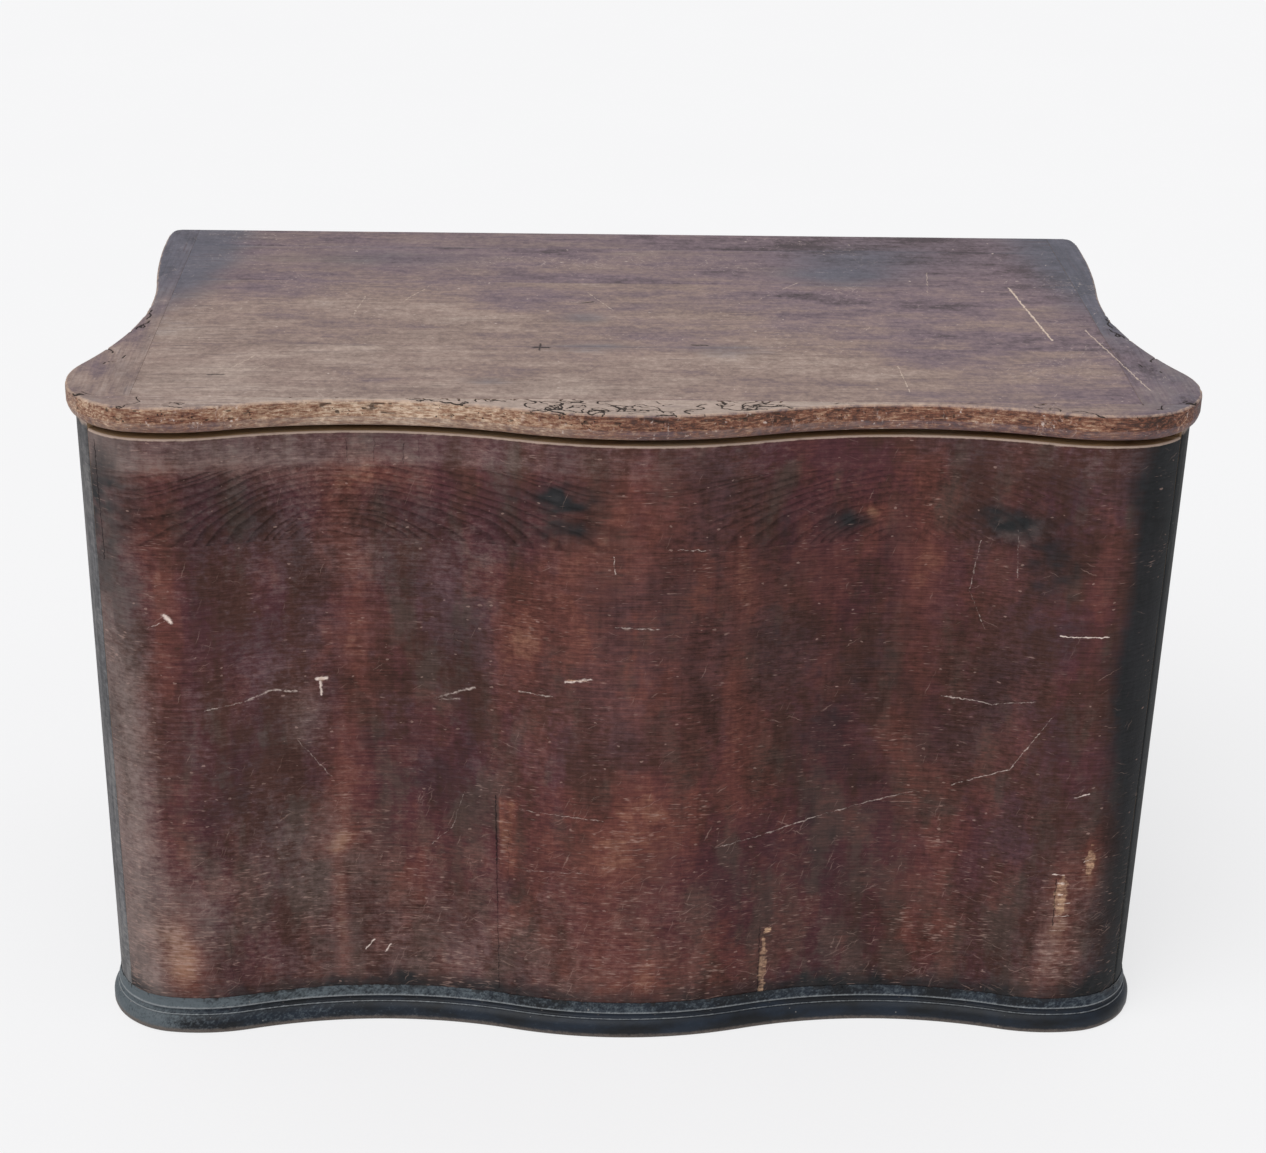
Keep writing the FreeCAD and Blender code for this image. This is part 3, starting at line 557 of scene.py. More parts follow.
def makeStainedPine(name, look, listed):
    material, tree, place = newMaterial(name)
    grain = add(tree, "Attribute", out="Vector", attribute_name="grain")
    late = pineRings(tree, grain, look)
    broad = stretched(tree, place, (170, 170, 260), 2.0, Detail=3.0)
    patch = stretched(tree, place, (38, 38, 90), 6.0, Detail=4.0, Roughness=0.62)
    streak = stretched(tree, grain, (75, 3.6, 3.6), 3.0, Detail=3.0, Roughness=0.7)
    fine = stretched(tree, grain, (17, 1.7, 1.7), 5.0, Detail=1.0)
    mottle = stretched(tree, place, (9, 9, 6), 8.0, Detail=4.0, Roughness=0.75)

    # the stain: maroon, brown and a violet bloom, in soft upright patches
    colour, _ = coat(tree, hexColour(look["brown"]), look["maroon"], 0.81, 0.99, 1.0,
                     (broad, 0.8), (patch, 0.7), (mottle, 0.3))
    colour, _ = coat(tree, colour, look["violet"], 0.12, 0.42, 0.6,
                     (broad, -0.9), (patch, 0.4), (mottle, 0.5), (streak, 0.3))
    height = add(tree, "SeparateXYZ", {0: place}, out="Z")
    low = mask(tree, 0.46, 0.12, 1.0, (height, 1.0))
    block = stretched(tree, place, (34, 34, 80), 23.0, Detail=3.0, Roughness=0.55)
    colour, _ = coat(tree, colour, look["olive"], 0.69, 0.88, 0.70,
                     (block, 1.0), (mottle, 0.35), (low, 0.10))

    # rubbed bands: redder, then orange where it is nearly through
    worn = total(tree, ("rub", 1.0), (patch, 0.55), (streak, 0.45), (mottle, 0.45),
                 (fine, 0.25), plus=-0.88)
    colour, _ = coat(tree, colour, look["redBrown"], -0.05, 0.60, 0.9, (worn, 1.0))
    colour, _ = coat(tree, colour, look["orange"], 0.42, 1.05, 0.9, (worn, 1.0))

    # grey, dried-out wood where the foot of the chest and its left corner are scuffed, and painted
    # sheen: greyer over the left half of the front and on the left flank, where the light from the
    # upper left reflects
    colour, dryWoodAndSheen = coat(tree, colour, look["grey"], 0.86, 1.65, 0.85,
                       ("dryWoodAndSheen", 1.0), (patch, 0.45), (mottle, 0.7), (streak, 0.35))

    # old smoke and polish on the flanks, and painted shade where the right corner and the right
    # flank turn away from the light
    colour, _ = coat(tree, colour, look["grimeAndPaintedLight"], 0.58, 1.45, 0.95,
                     ("grimeAndPaintedLight", 1.25), (patch, 0.5), (mottle, 0.4), (streak, 0.3))

    # level grain and the uneven depth of the stain
    lines = add(tree, "Math", {0: late, 1: "figure"}, operation="MULTIPLY")
    upright = stretched(tree, place, (4, 4, 55), 25.0, Detail=2.0, Roughness=0.6)
    colour = shaded(tree, colour, -0.95, (lines, -look["lateWood"]), (streak, 0.60), (fine, 0.45),
                    (mottle, 1.05), (patch, 0.85), (broad, 0.5), (upright, 0.45), (block, 0.35),
                    ("tone", 1.0))

    # nicks, short level scuffs and slanting scratches
    bent = bentPlace(tree, place)
    flat = add(tree, "VectorMath", {0: bent, 1: (1, 1, 1.9)}, operation="MULTIPLY")
    nick = specks(tree, flat, 12.0, 0.30, 2.6)
    scuff = stretched(tree, place, (11, 11, 1.7), 11.0, Detail=1.0)
    gate = stretched(tree, place, (55, 55, 40), 12.0)
    scuff = mask(tree, 0.92, 1.10, 0.75, (scuff, 1.0), (gate, 0.40), ("rub", 0.14),
                 (dryWoodAndSheen, 0.10), (low, 0.07))
    pale = add(tree, "Math", {0: nick, 1: 0.75}, operation="MULTIPLY")
    pale = add(tree, "Math", {0: pale, 1: scuff}, operation="MAXIMUM")
    pale = slashes(tree, bent, "Y_AXIS", (34, 34, 1.8), ((32, 14.0), (-24, 29.0), (70, 37.0)),
                   pale, 0.60, 0.70, 0.50, (gate, -0.30), (low, 0.05))
    colour, pale = touched(tree, colour, look["scratch"], pale, mottle)
    if listed:
        line = marks(tree, bent, "xz", listed)
        skip = stretched(tree, place, (8, 8, 5), 17.0, Detail=3.0, Roughness=0.7)
        colour = drawn(tree, colour, look["chip"], line, 1.45, 2.35, 1.0, (skip, 2.6))
        split = marks(tree, bent, "xz", frontCracks)
        colour = drawn(tree, colour, look["crack"], split, 1.05, 1.70, 0.85, (skip, 1.6))

    # the rubbed top arris and bare wood in the chips
    colour, _ = coat(tree, colour, look["rim"], 0.95, 1.60, 0.9,
                     ("edge", 1.0), (streak, 0.5), (mottle, 0.9))
    torn = mask(tree, 1.10, 1.65, 0.9, ("bare", 1.0), (streak, 0.5), (mottle, 0.9))
    wood = shaded(tree, hexColour(look["bare"])[:3], 0.30, (late, -0.4), (fine, 0.8),
                  (mottle, 0.6))
    colour = add(tree, "Mix", {0: torn, 6: colour, 7: wood}, out=2, data_type="RGBA")
    surface(tree, colour, [0.48, (worn, 0.10), (mottle, 0.20), (pale, 0.2), (torn, 0.2)],
            [(late, 0.30), (fine, 0.45), (mottle, 0.35), (streak, 0.3)], 0.0004, specular=0.1)
    return material


# Weathered pine of the lid. The stain has gone from it and light and dust have turned the
# pine grey, mauve and tan, with thin dark level streaks; its front edge is eaten by worm and
# rubbed to warm brown fibres

lidLook = {
    # blue is the blue-grey of old grime, and towards the back of the lid the painted reflection of
    # the sky
    "mauve": "#77666d", "tan": "#8d7971", "pale": "#a6948a", "blue": "#5d5e69",
    "dark": "#52464b", "fibreDark": "#3a251b", "fibre": "#6e4230", "fibrePale": "#9c7d66",
    "fibreBare": "#c4ad98", "tunnel": "#1f1713", "scratch": "#bfaea6", "mark": "#d3bfae",
    "knot": "#2e2628", "rubbed": "#bda28d",
    "ringWidth": 4.6,
    "ringWander": 12.0,
}

# Marks on the lid's top: from and to (x, y in metres), width in mm, strength
lidMarks = [
    (0.425, 0.0974, 0.4429, -0.0713, 3.4, 0.95), (0.2688, -0.1534, 0.2716, -0.2268, 2.6, 0.6),
    (0.4844, -0.0391, 0.5159, -0.2156, 2.6, 0.65), (-0.4107, -0.176, -0.39, -0.14, 2.4, 0.55),
    (-0.4, -0.19, -0.37, -0.16, 2.4, 0.45), (-0.07, 0.036, -0.04, 0.035, 2.6, 0.5),
    (-0.048, 0.07, -0.02, 0.01, 2.4, 0.5), (-0.25, 0.03, -0.22, 0.09, 2.4, 0.45),
    (-0.3, -0.02, -0.29, 0.05, 2.4, 0.45), (0.14, 0.05, 0.19, 0.11, 2.4, 0.4),
    (0.33, 0.07, 0.34, 0.15, 2.4, 0.45),
]
lidKnots = [
    (-0.105, -0.107, -0.09, -0.108, 4.5, 1), (-0.099, -0.115, -0.098, -0.096, 3, 0.8),
    (0.06, -0.096, 0.076, -0.097, 4, 0.9), (-0.052, 0.034, -0.042, 0.037, 3.6, 1),
    (-0.43, -0.195, -0.415, -0.193, 3.6, 0.8),
]


def makeWeatheredPine(name, look):
    material, tree, place = newMaterial(name)
    grain = add(tree, "Attribute", out="Vector", attribute_name="grain")
    late = pineRings(tree, grain, look)
    cloud = stretched(tree, grain, (210, 90, 90), 2.0, Detail=3.0)
    patch = stretched(tree, grain, (75, 24, 24), 3.0, Detail=4.0, Roughness=0.65)
    streak = stretched(tree, grain, (55, 2.8, 2.8), 5.0, Detail=3.0, Roughness=0.7)
    mottle = stretched(tree, place, (7, 7, 7), 8.0, Detail=4.0, Roughness=0.78)

    # weathering: mauve where the lid is least rubbed, tan where it is most
    worn = total(tree, ("rub", 1.0), (cloud, 1.1), (patch, 0.9), (streak, 0.3), (mottle, 0.55),
                 plus=-1.33)
    worn = add(tree, "MapRange", {0: worn, 1: -0.05, 2: 1.0})
    colour = add(tree, "ValToRGB", {"Fac": worn}, stops=[
        (0.0, look["dark"]), (0.25, look["mauve"]), (0.58, look["tan"]), (1.0, look["pale"])])
    # blue-grey over old grime and, towards the back of the lid, as painted reflection of the sky
    colour, _ = coat(tree, colour, look["blue"], 0.85, 1.40, 0.85,
                     ("grimeAndPaintedLight", 1.0), (cloud, 0.5), (patch, 0.6), (mottle, 0.3))

    # thin dark streaks in the open grain, most of them at the ends
    split = stretched(tree, grain, (62, 3.2, 3.2), 21.0, Detail=3.0)
    colour, _ = coat(tree, colour, look["dark"], 0.84, 1.06, 0.58,
                     (split, 1.0), (patch, 0.5), ("streaky", 0.11))

    # the eaten front edge: torn fibres from dark to bare
    fibre = stretched(tree, grain, (13, 2.0, 2.0), 7.0, Detail=4.0, Roughness=0.75)
    brown = total(tree, (fibre, 1.0), (patch, 0.35), (mottle, 0.3), ("rub", 0.45), plus=-0.35)
    brown = add(tree, "ValToRGB", {"Fac": brown}, stops=[
        (0.42, look["fibreDark"]), (0.56, look["fibre"]), (0.72, look["fibrePale"]),
        (0.86, look["fibreBare"])])
    heat = mask(tree, 0.62, 1.25, 0.95, ("warm", 1.0), (streak, 0.5), (mottle, 0.5))
    colour = add(tree, "Mix", {0: heat, 6: colour, 7: brown}, out=2, data_type="RGBA")
    colour = shaded(tree, colour, 0.06, (late, -0.08), (streak, 0.40), (mottle, 1.05),
                    (patch, 0.50), ("tone", 1.0))

    # scratches across and along the boards, and nicks
    bent = bentPlace(tree, place)
    gate = stretched(tree, place, (110, 80, 80), 12.0)
    found = specks(tree, bent, 11.0, 0.22, 2.0)
    found = slashes(tree, bent, "Z_AXIS", (30, 1.7, 30), ((8, 11.0), (62, 15.0), (118, 19.0)),
                    found, 0.86, 0.98, 0.55, (gate, 0.30))
    fleck = stretched(tree, place, (5, 3, 5), 27.0, Detail=2.0)
    fleck = mask(tree, 0.84, 0.98, 0.9, (fleck, 1.0), (gate, 0.35), ("streaky", 0.05))
    found = add(tree, "Math", {0: found, 1: fleck}, operation="MAXIMUM")
    skip = add(tree, "MapRange", {0: mottle, 1: 0.42, 2: 0.58, 3: 0.15, 4: 1.0},
               interpolation_type="SMOOTHSTEP")
    colour, _ = touched(tree, colour, look["scratch"], found, skip)
    nick = stretched(tree, grain, (9, 2.4, 2.4), 33.0, Detail=2.0)
    colour, _ = coat(tree, colour, look["dark"], 0.56, 0.66, 0.65, (nick, 1.0), (gate, -0.30))
    line = marks(tree, bent, "xy", lidMarks)
    line = add(tree, "Math", {0: line, 1: "topSide"}, operation="MULTIPLY")
    skip = stretched(tree, place, (6, 6, 6), 17.0, Roughness=0.7)
    colour = drawn(tree, colour, look["mark"], line, 1.35, 1.80, 1.0, (skip, 2.2))
    knot = marks(tree, bent, "xy", lidKnots)
    colour, _ = touched(tree, colour, look["knot"], knot, "topSide")

    # rubbed arris, then the dark inside the worm channels and pits: painted shade in these hollows
    colour, _ = coat(tree, colour, look["rubbed"], 0.85, 1.35, 0.75,
                     ("edge", 0.9), (mottle, 0.8), (streak, 0.3))
    colour, _ = coat(tree, colour, look["tunnel"], 0.55, 0.88, 0.95,
                     ("tunnel", 1.0), (mottle, 0.30))
    pit = specks(tree, bent, 4.2, 0.5, 1.1)
    colour, _ = touched(tree, colour, look["tunnel"], pit, "eaten")
    surface(tree, colour, [0.52, (mottle, 0.2), (worn, 0.08)],
            [(late, 0.25), (streak, 0.5), (mottle, 0.6)], 0.0005, specular=0.25)
    return material


# Raw pine inside and underneath: hand-planed, never finished, gone honey brown and dusty

rawLook = {"early": "#9f8262", "late": "#775a40", "dust": "#85786a", "ringWidth": 5.0,
           "ringWander": 10.0}


def makeRawPine(name, look, along=None, dirt=0.5):
    # along: the axis that the grain follows on a piece with no grain of its own
    material, tree, place = newMaterial(name)
    if along is None:
        grain = add(tree, "Attribute", out="Vector", attribute_name="grain")
    else:
        axis = {"X": (0, 0, 0), "Y": (0, 0, math.pi / 2), "Z": (0, math.pi / 2, 0)}[along]
        grain = add(tree, "VectorRotate", {"Vector": place, "Rotation": axis},
                    rotation_type="EULER_XYZ")
        grain = add(tree, "VectorMath", {0: grain, 1: (0.3, 0.07, 0.11)}, operation="ADD")
    late = pineRings(tree, grain, look)
    fine = stretched(tree, grain, (40, 1.5, 1.5), 5.0)
    cloud = stretched(tree, place, (120, 120, 120), 6.0, Detail=4.0, Roughness=0.65)
    mottle = stretched(tree, place, (10, 10, 10), 8.0, Detail=4.0, Roughness=0.7)
    colour = add(tree, "Mix", {0: late, 6: hexColour(look["early"]), 7: hexColour(look["late"])},
                 out=2, data_type="RGBA")
    colour, _ = coat(tree, colour, look["dust"], 0.85 - dirt * 0.6, 1.30 - dirt * 0.6, 0.85,
                     (cloud, 1.0), (mottle, 0.35))
    colour = shaded(tree, colour, 0.40, (fine, 0.6), (mottle, 0.3), (cloud, 0.3))
    surface(tree, colour, [0.55, (mottle, 0.25), (fine, 0.1)],
            [(late, 0.4), (fine, 0.5), (mottle, 0.4)], 0.0004, specular=0.3)
    return material


# Ebonised pine of the base moulding: a blue-black paint, gone thin and grey-green on the
# splay, rubbed pale on its sharp edges and scuffed to the wood along the floor

mouldingLook = {"paint": "#0d1015", "blue": "#18212d", "chalk": "#535b60",
                "rubbed": "#7d8184", "wood": "#5d544e", "nick": "#8e8a86", "hole": "#15110f"}


def makeEbonisedPine(name, look):
    material, tree, place = newMaterial(name)
    grain = add(tree, "Attribute", out="Vector", attribute_name="grain")
    streak = stretched(tree, grain, (60, 2.5, 2.5), 3.0, Detail=3.0, Roughness=0.65)
    cloud = stretched(tree, place, (60, 60, 25), 6.0, Detail=4.0, Roughness=0.6)
    mottle = stretched(tree, place, (7, 7, 5), 8.0, Detail=4.0, Roughness=0.7)
    colour = add(tree, "ValToRGB", {"Fac": cloud}, stops=[
        (0.38, look["paint"]), (0.62, look["blue"])])
    colour, grey = coat(tree, colour, look["chalk"], 2.60, 3.55, 0.95,
                        ("chalk", 1.0), (streak, 1.5), (mottle, 1.5), (cloud, 1.2))
    colour, _ = coat(tree, colour, look["wood"], 0.70, 1.30, 0.85,
                     ("foot", 1.0), (streak, 0.4), (mottle, 0.6))
    colour, _ = coat(tree, colour, look["rubbed"], 0.80, 1.35, 0.85,
                     ("edge", 1.0), (streak, 0.5), (mottle, 0.4))
    nick = specks(tree, place, 7.0, 0.15, 1.3)
    colour, nick = touched(tree, colour, look["nick"], nick, 0.5)
    # near-black in the worm holes along the top edge: painted shade in the holes
    colour, _ = coat(tree, colour, look["hole"], 0.3, 0.9, 0.7, ("tunnel", 1.0))
    colour = shaded(tree, colour, 0.5, (streak, 0.5), (mottle, 0.5))
    surface(tree, colour, [0.34, (mottle, 0.25), (grey, 0.15)],
            [(streak, 0.6), (mottle, 0.5), (nick, -0.6)], 0.0003, specular=0.25)
    return material


# Wrought iron: forged black scale with brown rust in the hollows

ironLook = {"scale": "#262423", "grey": "#3a3836", "rust": "#5a3422"}


def makeIron(name, look):
    material, tree, place = newMaterial(name)
    hammer = stretched(tree, place, (11, 11, 11), 2.0, Detail=3.0)
    grit = stretched(tree, place, (2.2, 2.2, 2.2), 5.0, Detail=3.0, Roughness=0.7)
    colour = add(tree, "ValToRGB", {"Fac": hammer}, stops=[
        (0.35, look["scale"]), (0.65, look["grey"])])
    colour, rust = coat(tree, colour, look["rust"], 0.80, 1.05, 0.8, (hammer, 0.9), (grit, 0.8))
    surface(tree, colour, [0.42, (rust, 0.3), (grit, 0.2)], [(hammer, 1.0), (grit, 0.35)],
            0.0006, metallic=0.65)
    return material


stainedPine = makeStainedPine("stained_pine", frontStain, frontMarks)
# The staves take a darker, greyer copy of the front's stain: partly their own darker polish,
# partly painted shade for the right flank, which turns away from the light; the left flank is
# painted lighter again
flankStainAndShade = dict(frontStain, maroon="#2a2a2e", brown="#282727", violet="#323439", olive="#2c2b28",
                 redBrown="#454446", orange="#66615b", grey="#626366", scratch="#8a8582")
flankPineAndShade = makeStainedPine("flank_pine_and_shade", flankStainAndShade, [])
weatheredPine = makeWeatheredPine("weathered_pine", lidLook)
rawPine = makeRawPine("raw_pine", rawLook)
rawPineX = makeRawPine("raw_pine_along_x", rawLook, "X", dirt=0.8)
rawPineY = makeRawPine("raw_pine_along_y", rawLook, "Y")
rawPineZ = makeRawPine("raw_pine_along_z", rawLook, "Z")
backLook = dict(rawLook, early="#8b7058", late="#5f4836", dust="#6f655c")
backPine = makeRawPine("sawn_back_pine", backLook, dirt=0.8)
ebonisedPine = makeEbonisedPine("ebonised_pine", mouldingLook)
iron = makeIron("wrought_iron", ironLook)
print("materials made:", len(bpy.data.materials))


# Front: five boards sawn to the serpentine

frontBoards = {
    "step": 0.0026,              # mesh size along the front
    "arris": 0.0004,
    "topArris": 0.0022,
    "endChamfer": 0.0009,        # opens the joint at the corners
    "wear": 0.00016,             # hollows left by planing and use
    "fineWear": 0.00005,
    "splinter": 0.0006,          # depth of what is gone from the arrises
    "wearEnds": 0.115,           # how far back from the front the wear goes
    # pith of each board behind the surface and its height (m)
    "pith": [(-0.20, 0.240), (-0.24, 0.020), (-0.25, 0.150), (0, 0), (-0.26, 0.560)],
    # the fourth is sawn from near the heart: its rings show as two arches. Each has its x and
    # z, and how steep it is on its outer and its inner side
    "arches": [(-0.315, 0.574, 0.75, 0.42), (0.275, 0.576, 0.62, 0.50)],
    "archRing": 0.0062,          # m
    "figure": [0.28, 0.26, 0.34, 1.0, 0.28],
    "tone": [0.0, -0.01, 0.0, -0.03, 0.10],
}

# Where the front is rubbed through, darkened or dented: x, z, half width, half height, strength
rubbedPlaces = [
    (-0.48, 0.36, 0.022, 0.3, 0.28), (-0.53, 0.3, 0.03, 0.3, 0.12),
    (-0.497, 0.12, 0.024, 0.03, 0.7), (-0.483, 0.08, 0.022, 0.03, 0.62),
    (-0.478, 0.6, 0.018, 0.06, 0.26), (-0.293, 0.52, 0.02, 0.2, 0.34),
    (-0.296, 0.33, 0.03, 0.09, 0.22), (-0.31, 0.218, 0.02, 0.008, 0.45),
    (-0.311, 0.15, 0.007, 0.08, 0.55), (-0.23, 0.17, 0.06, 0.07, 0.28),
    (-0.26, 0.65, 0.05, 0.02, 0.6), (-0.12, 0.47, 0.022, 0.06, 0.5),
    (-0.06, 0.52, 0.04, 0.12, 0.42), (0.02, 0.48, 0.05, 0.14, 0.3),
    (0.005, 0.63, 0.06, 0.06, 0.32), (-0.03, 0.235, 0.05, 0.055, 0.55),
    (0.03, 0.26, 0.04, 0.045, 0.42), (0, 0.13, 0.11, 0.06, 0.3), (0.01, 0.06, 0.07, 0.03, 0.3),
    (0.112, 0.5, 0.013, 0.19, 0.28), (0.25, 0.63, 0.06, 0.04, 0.3),
    (0.292, 0.48, 0.018, 0.2, 0.3), (0.32, 0.15, 0.05, 0.07, 0.38),
    (0.474, 0.49, 0.014, 0.16, 0.22), (0.462, 0.09, 0.022, 0.09, 0.5),
    (0.468, 0.165, 0.012, 0.04, 0.75), (0.496, 0.212, 0.011, 0.035, 0.7),
    (0.243, 0.619, 0.014, 0.006, 0.5), (-0.42, 0.664, 0.09, 0.01, 0.45),
]
darkPlaces = [
    (-0.524, 0.628, 0.034, 0.045, 0.3), (-0.53, 0.54, 0.03, 0.08, 0.14),
    (-0.075, 0.637, 0.034, 0.016, 0.56), (-0.065, 0.6, 0.034, 0.014, 0.4),
    (-0.388, 0.606, 0.06, 0.03, 0.08), (0.221, 0.608, 0.016, 0.009, 0.52),
    (0.375, 0.608, 0.034, 0.018, 0.54), (0.425, 0.56, 0.03, 0.04, 0.4),
    (-0.38, 0.27, 0.06, 0.09, 0.1), (0.19, 0.19, 0.06, 0.06, 0.2), (0.23, 0.42, 0.07, 0.12, 0.2),
    (-0.23, 0.33, 0.06, 0.06, 0.1), (0.14, 0.56, 0.04, 0.06, 0.18),
]
dryAndSheenPlaces = [
    (-0.24, 0.56, 0.1, 0.03, 0.16), (-0.34, 0.38, 0.02, 0.03, 0.3),
    (-0.47, 0.15, 0.04, 0.06, 0.3), (-0.34, 0.2, 0.06, 0.06, 0.22),
    (-0.2, 0.12, 0.12, 0.06, 0.18), (-0.4, 0.67, 0.12, 0.02, 0.2),
    (0.05, 0.15, 0.05, 0.04, 0.18), (0.46, 0.12, 0.02, 0.07, 0.3),
    (0.505, 0.682, 0.06, 0.02, 0.1), (-0.3, 0.63, 0.2, 0.04, 0.1), (-0.4, 0.38, 0.07, 0.16, 0.1),
    (0.505, 0.15, 0.02, 0.09, 0.2), (0.388, 0.6, 0.03, 0.016, 0.55),
    (0.222, 0.607, 0.014, 0.01, 0.4),
]
# the foot of the front is dark with dirt: x and strength
footAlong = [-0.55, -0.46, -0.36, -0.22, -0.08, 0.06, 0.16, 0.24, 0.36, 0.46, 0.55]
footDirt = [0.40, 0.22, 0.42, 0.52, 0.40, 0.30, 0.48, 0.56, 0.46, 0.35, 0.60]
dents = [                        # x, z, half width, half height, depth, bare wood
    (-0.1415, 0.205, 0.0016, 0.082, 0.0012, 0), (0.1495, 0.075, 0.0052, 0.046, 0.0014, 0.62),
    (0.1535, 0.119, 0.005, 0.004, 0.0012, 0.85), (0.4675, 0.172, 0.0085, 0.032, 0.0008, 0.62),
    (0.4955, 0.214, 0.0065, 0.022, 0.0007, 0.66), (-0.3225, 0.4225, 0.005, 0.0035, 0.0008, 0.6),
    (-0.473, 0.503, 0.004, 0.003, 0.0007, 0.6), (-0.057, 0.4365, 0.013, 0.002, 0.0007, 0.7),
    (-0.5, 0.12, 0.016, 0.003, 0.0005, 0.3), (-0.485, 0.09, 0.018, 0.005, 0.0005, 0.4),
    (0.22, 0.61, 0.008, 0.005, 0.0007, 0),
]
# how plain the arches are to see: x and strength
figureAlong = [-0.56, -0.47, -0.41, -0.32, -0.22, -0.09, 0.02, 0.12, 0.22, 0.30, 0.42, 0.52]
figureThere = [0.30, 0.90, 1.10, 0.70, 1.00, 1.10, 0.35, 0.85, 0.75, 0.40, 0.45, 0.25]


def spots(x, z, listed):
    # Soft patches added up
    found = np.zeros(len(x))
    for cx, cz, halfWidth, halfHeight, strength in listed:
        gap = ((x - cx) / halfWidth) ** 2 + ((z - cz) / halfHeight) ** 2
        found = found + strength * np.exp(-gap * 0.7)
    return found


def redder(x, z):
    # The right half of the front keeps a deeper red between its top and its foot
    middle = smooth(x, 0.00, 0.08) * smooth(x, 0.44, 0.34)
    return middle * smooth(z, 0.20, 0.30) * smooth(z, 0.64, 0.56)


def frontLayers(edges):
    def layers(co, no):
        x, z = co[:, 0], co[:, 2]
        warp = np.stack([roughness(co, 0.05, 31), roughness(co, 0.05, 35)], 1) * 0.007
        u, v = x + warp[:, 0], z + warp[:, 1] * 2
        # the right corner darkens into the flank: old polish, and painted shade where the front
        # turns away from the light; the left corner takes a little of it
        flank = smooth(u, 0.478, 0.552) * 1.35 * (1 - 0.35 * smooth(z, 0.655, 0.675))
        flank = flank * (0.50 + 0.50 * smooth(z, 0.20, 0.44))
        flank = flank + smooth(-x, 0.515, 0.550) * 0.10
        lower = smooth(z, 0.16, 0.04) * 0.10 + smooth(z, 0.30, 0.24) * 0.06
        lower = lower * smooth(x, 0.15, -0.10)
        # a scar with a sharp left side and a rubbed right one
        ragged = roughness(co, (0.012, 0.012, 0.030), 43)
        scar = smooth(x, -0.1412, -0.1385) * smooth(x + 0.006 * ragged, -0.112, -0.130)
        scar *= smooth(z + 0.012 * ragged, 0.10, 0.16) * smooth(z, 0.292, 0.280)
        scar *= np.clip(0.12 + 5.0 * np.maximum(z - 0.17, 0) + 0.7 * ragged, 0, 0.95)
        # the stain lies in blots, and dirt and soot are ragged
        blot = roughness(co, (0.034, 0.034, 0.060), 61, 4)
        grit = roughness(co, (0.014, 0.014, 0.009), 71, 2)
        foot = smooth(z + 0.010 * grit, 0.068, 0.042) * np.interp(x, footAlong, footDirt)
        return {
            "rub": spots(u, v, rubbedPlaces) * (0.8 + 0.3 * grit) + lower + scar
                   + 0.16 * smooth(blot, 0.10, 0.28) + 0.14 * redder(x, z),
            # greyer at the left corner and over the left half: scuffed wood, and painted sheen of
            # the light from the upper left
            "dryWoodAndSheen": smooth(-x, 0.475, 0.530) * (0.32 + 0.26 * smooth(z, 0.66, 0.36) + 0.16 * grit)
                   + smooth(z, 0.15, 0.02) * (0.10 + 0.06 * smooth(x, 0.1, -0.2))
                   + (0.14 + 0.08 * smooth(x, 0.1, -0.1)) * smooth(z, 0.655, 0.670)
                   + 0.12 * smooth(x, 0.10, -0.05)
                   + 0.10 * smooth(z, 0.30, 0.16) * smooth(x, 0.1, 0.2)
                   + spots(u, v, dryAndSheenPlaces),
            "grimeAndPaintedLight": np.clip(spots(u, v, darkPlaces) * (1 + 0.9 * grit) + flank + foot
                            + 0.14 * smooth(-blot, 0.12, 0.30), 0, 1.2),
            "edge": edges(co),
        }
    return layers


def frontWear(edges, tone, figure):
    def wear(co, no):
        outside = smooth(no[:, 1] * -1 + np.abs(no[:, 0]), 0.2, 0.6)
        outside *= co[:, 1] < plan["frontY"] + frontBoards["wearEnds"]
        depth = frontBoards["wear"] * (1 + roughness(co, (0.09, 0.09, 0.03), 3)) * outside
        depth += frontBoards["fineWear"] * (1 + roughness(co, (0.012, 0.012, 0.006), 7)) * outside
        bare = np.zeros(len(co))
        for cx, cz, halfWidth, halfHeight, deep, raw in dents:
            ragged = 1 + 0.6 * roughness(co, 0.007, 17)
            gap = np.sqrt(((co[:, 0] - cx) / halfWidth) ** 2 + ((co[:, 2] - cz) / halfHeight) ** 2)
            near = smooth(gap * ragged, 1.15, 0.75) * (np.abs(co[:, 0] - cx) < 0.05) * outside
            depth = np.maximum(depth, deep * near)
            bare = np.maximum(bare, raw * near)
        # splinters gone from the arrises
        lost = smooth(roughness(co, (0.03, 0.03, 0.012), 23), 0.35, 0.8) * edges(co) * outside
        depth += frontBoards["splinter"] * lost
        bare = np.maximum(bare, 0.5 * lost)
        x, z = co[:, 0], co[:, 2]
        uneven = 0.13 * smooth(-x, 0.48, 0.53)
        uneven = uneven - 0.11 * smooth(z, 0.34, 0.10) * smooth(x, -0.05, 0.10)
        uneven = uneven - 0.11 * redder(x, z) + spots(
            x, z, [(-0.14, 0.655, 0.10, 0.030, 0.28), (-0.41, 0.38, 0.06, 0.14, 0.20),
                   (-0.08, 0.38, 0.05, 0.10, 0.12), (-0.50, 0.13, 0.04, 0.04, -0.08)])
        uneven = uneven - 0.10 * smooth(x, 0.48, 0.54) * smooth(z, 0.40, 0.20)
        uneven = uneven + 0.09 * np.clip(roughness(co, (0.026, 0.026, 0.044), 81, 4) * 2, -1, 1)
        # the arches are plain to see at their feet and faint on the right
        plainness = np.interp(x, figureAlong, figureThere) if figure == 1 else figure
        return depth, {"bare": bare, "tone": tone + uneven,
                       "figure": plainness * np.ones(len(co))}
    return wear


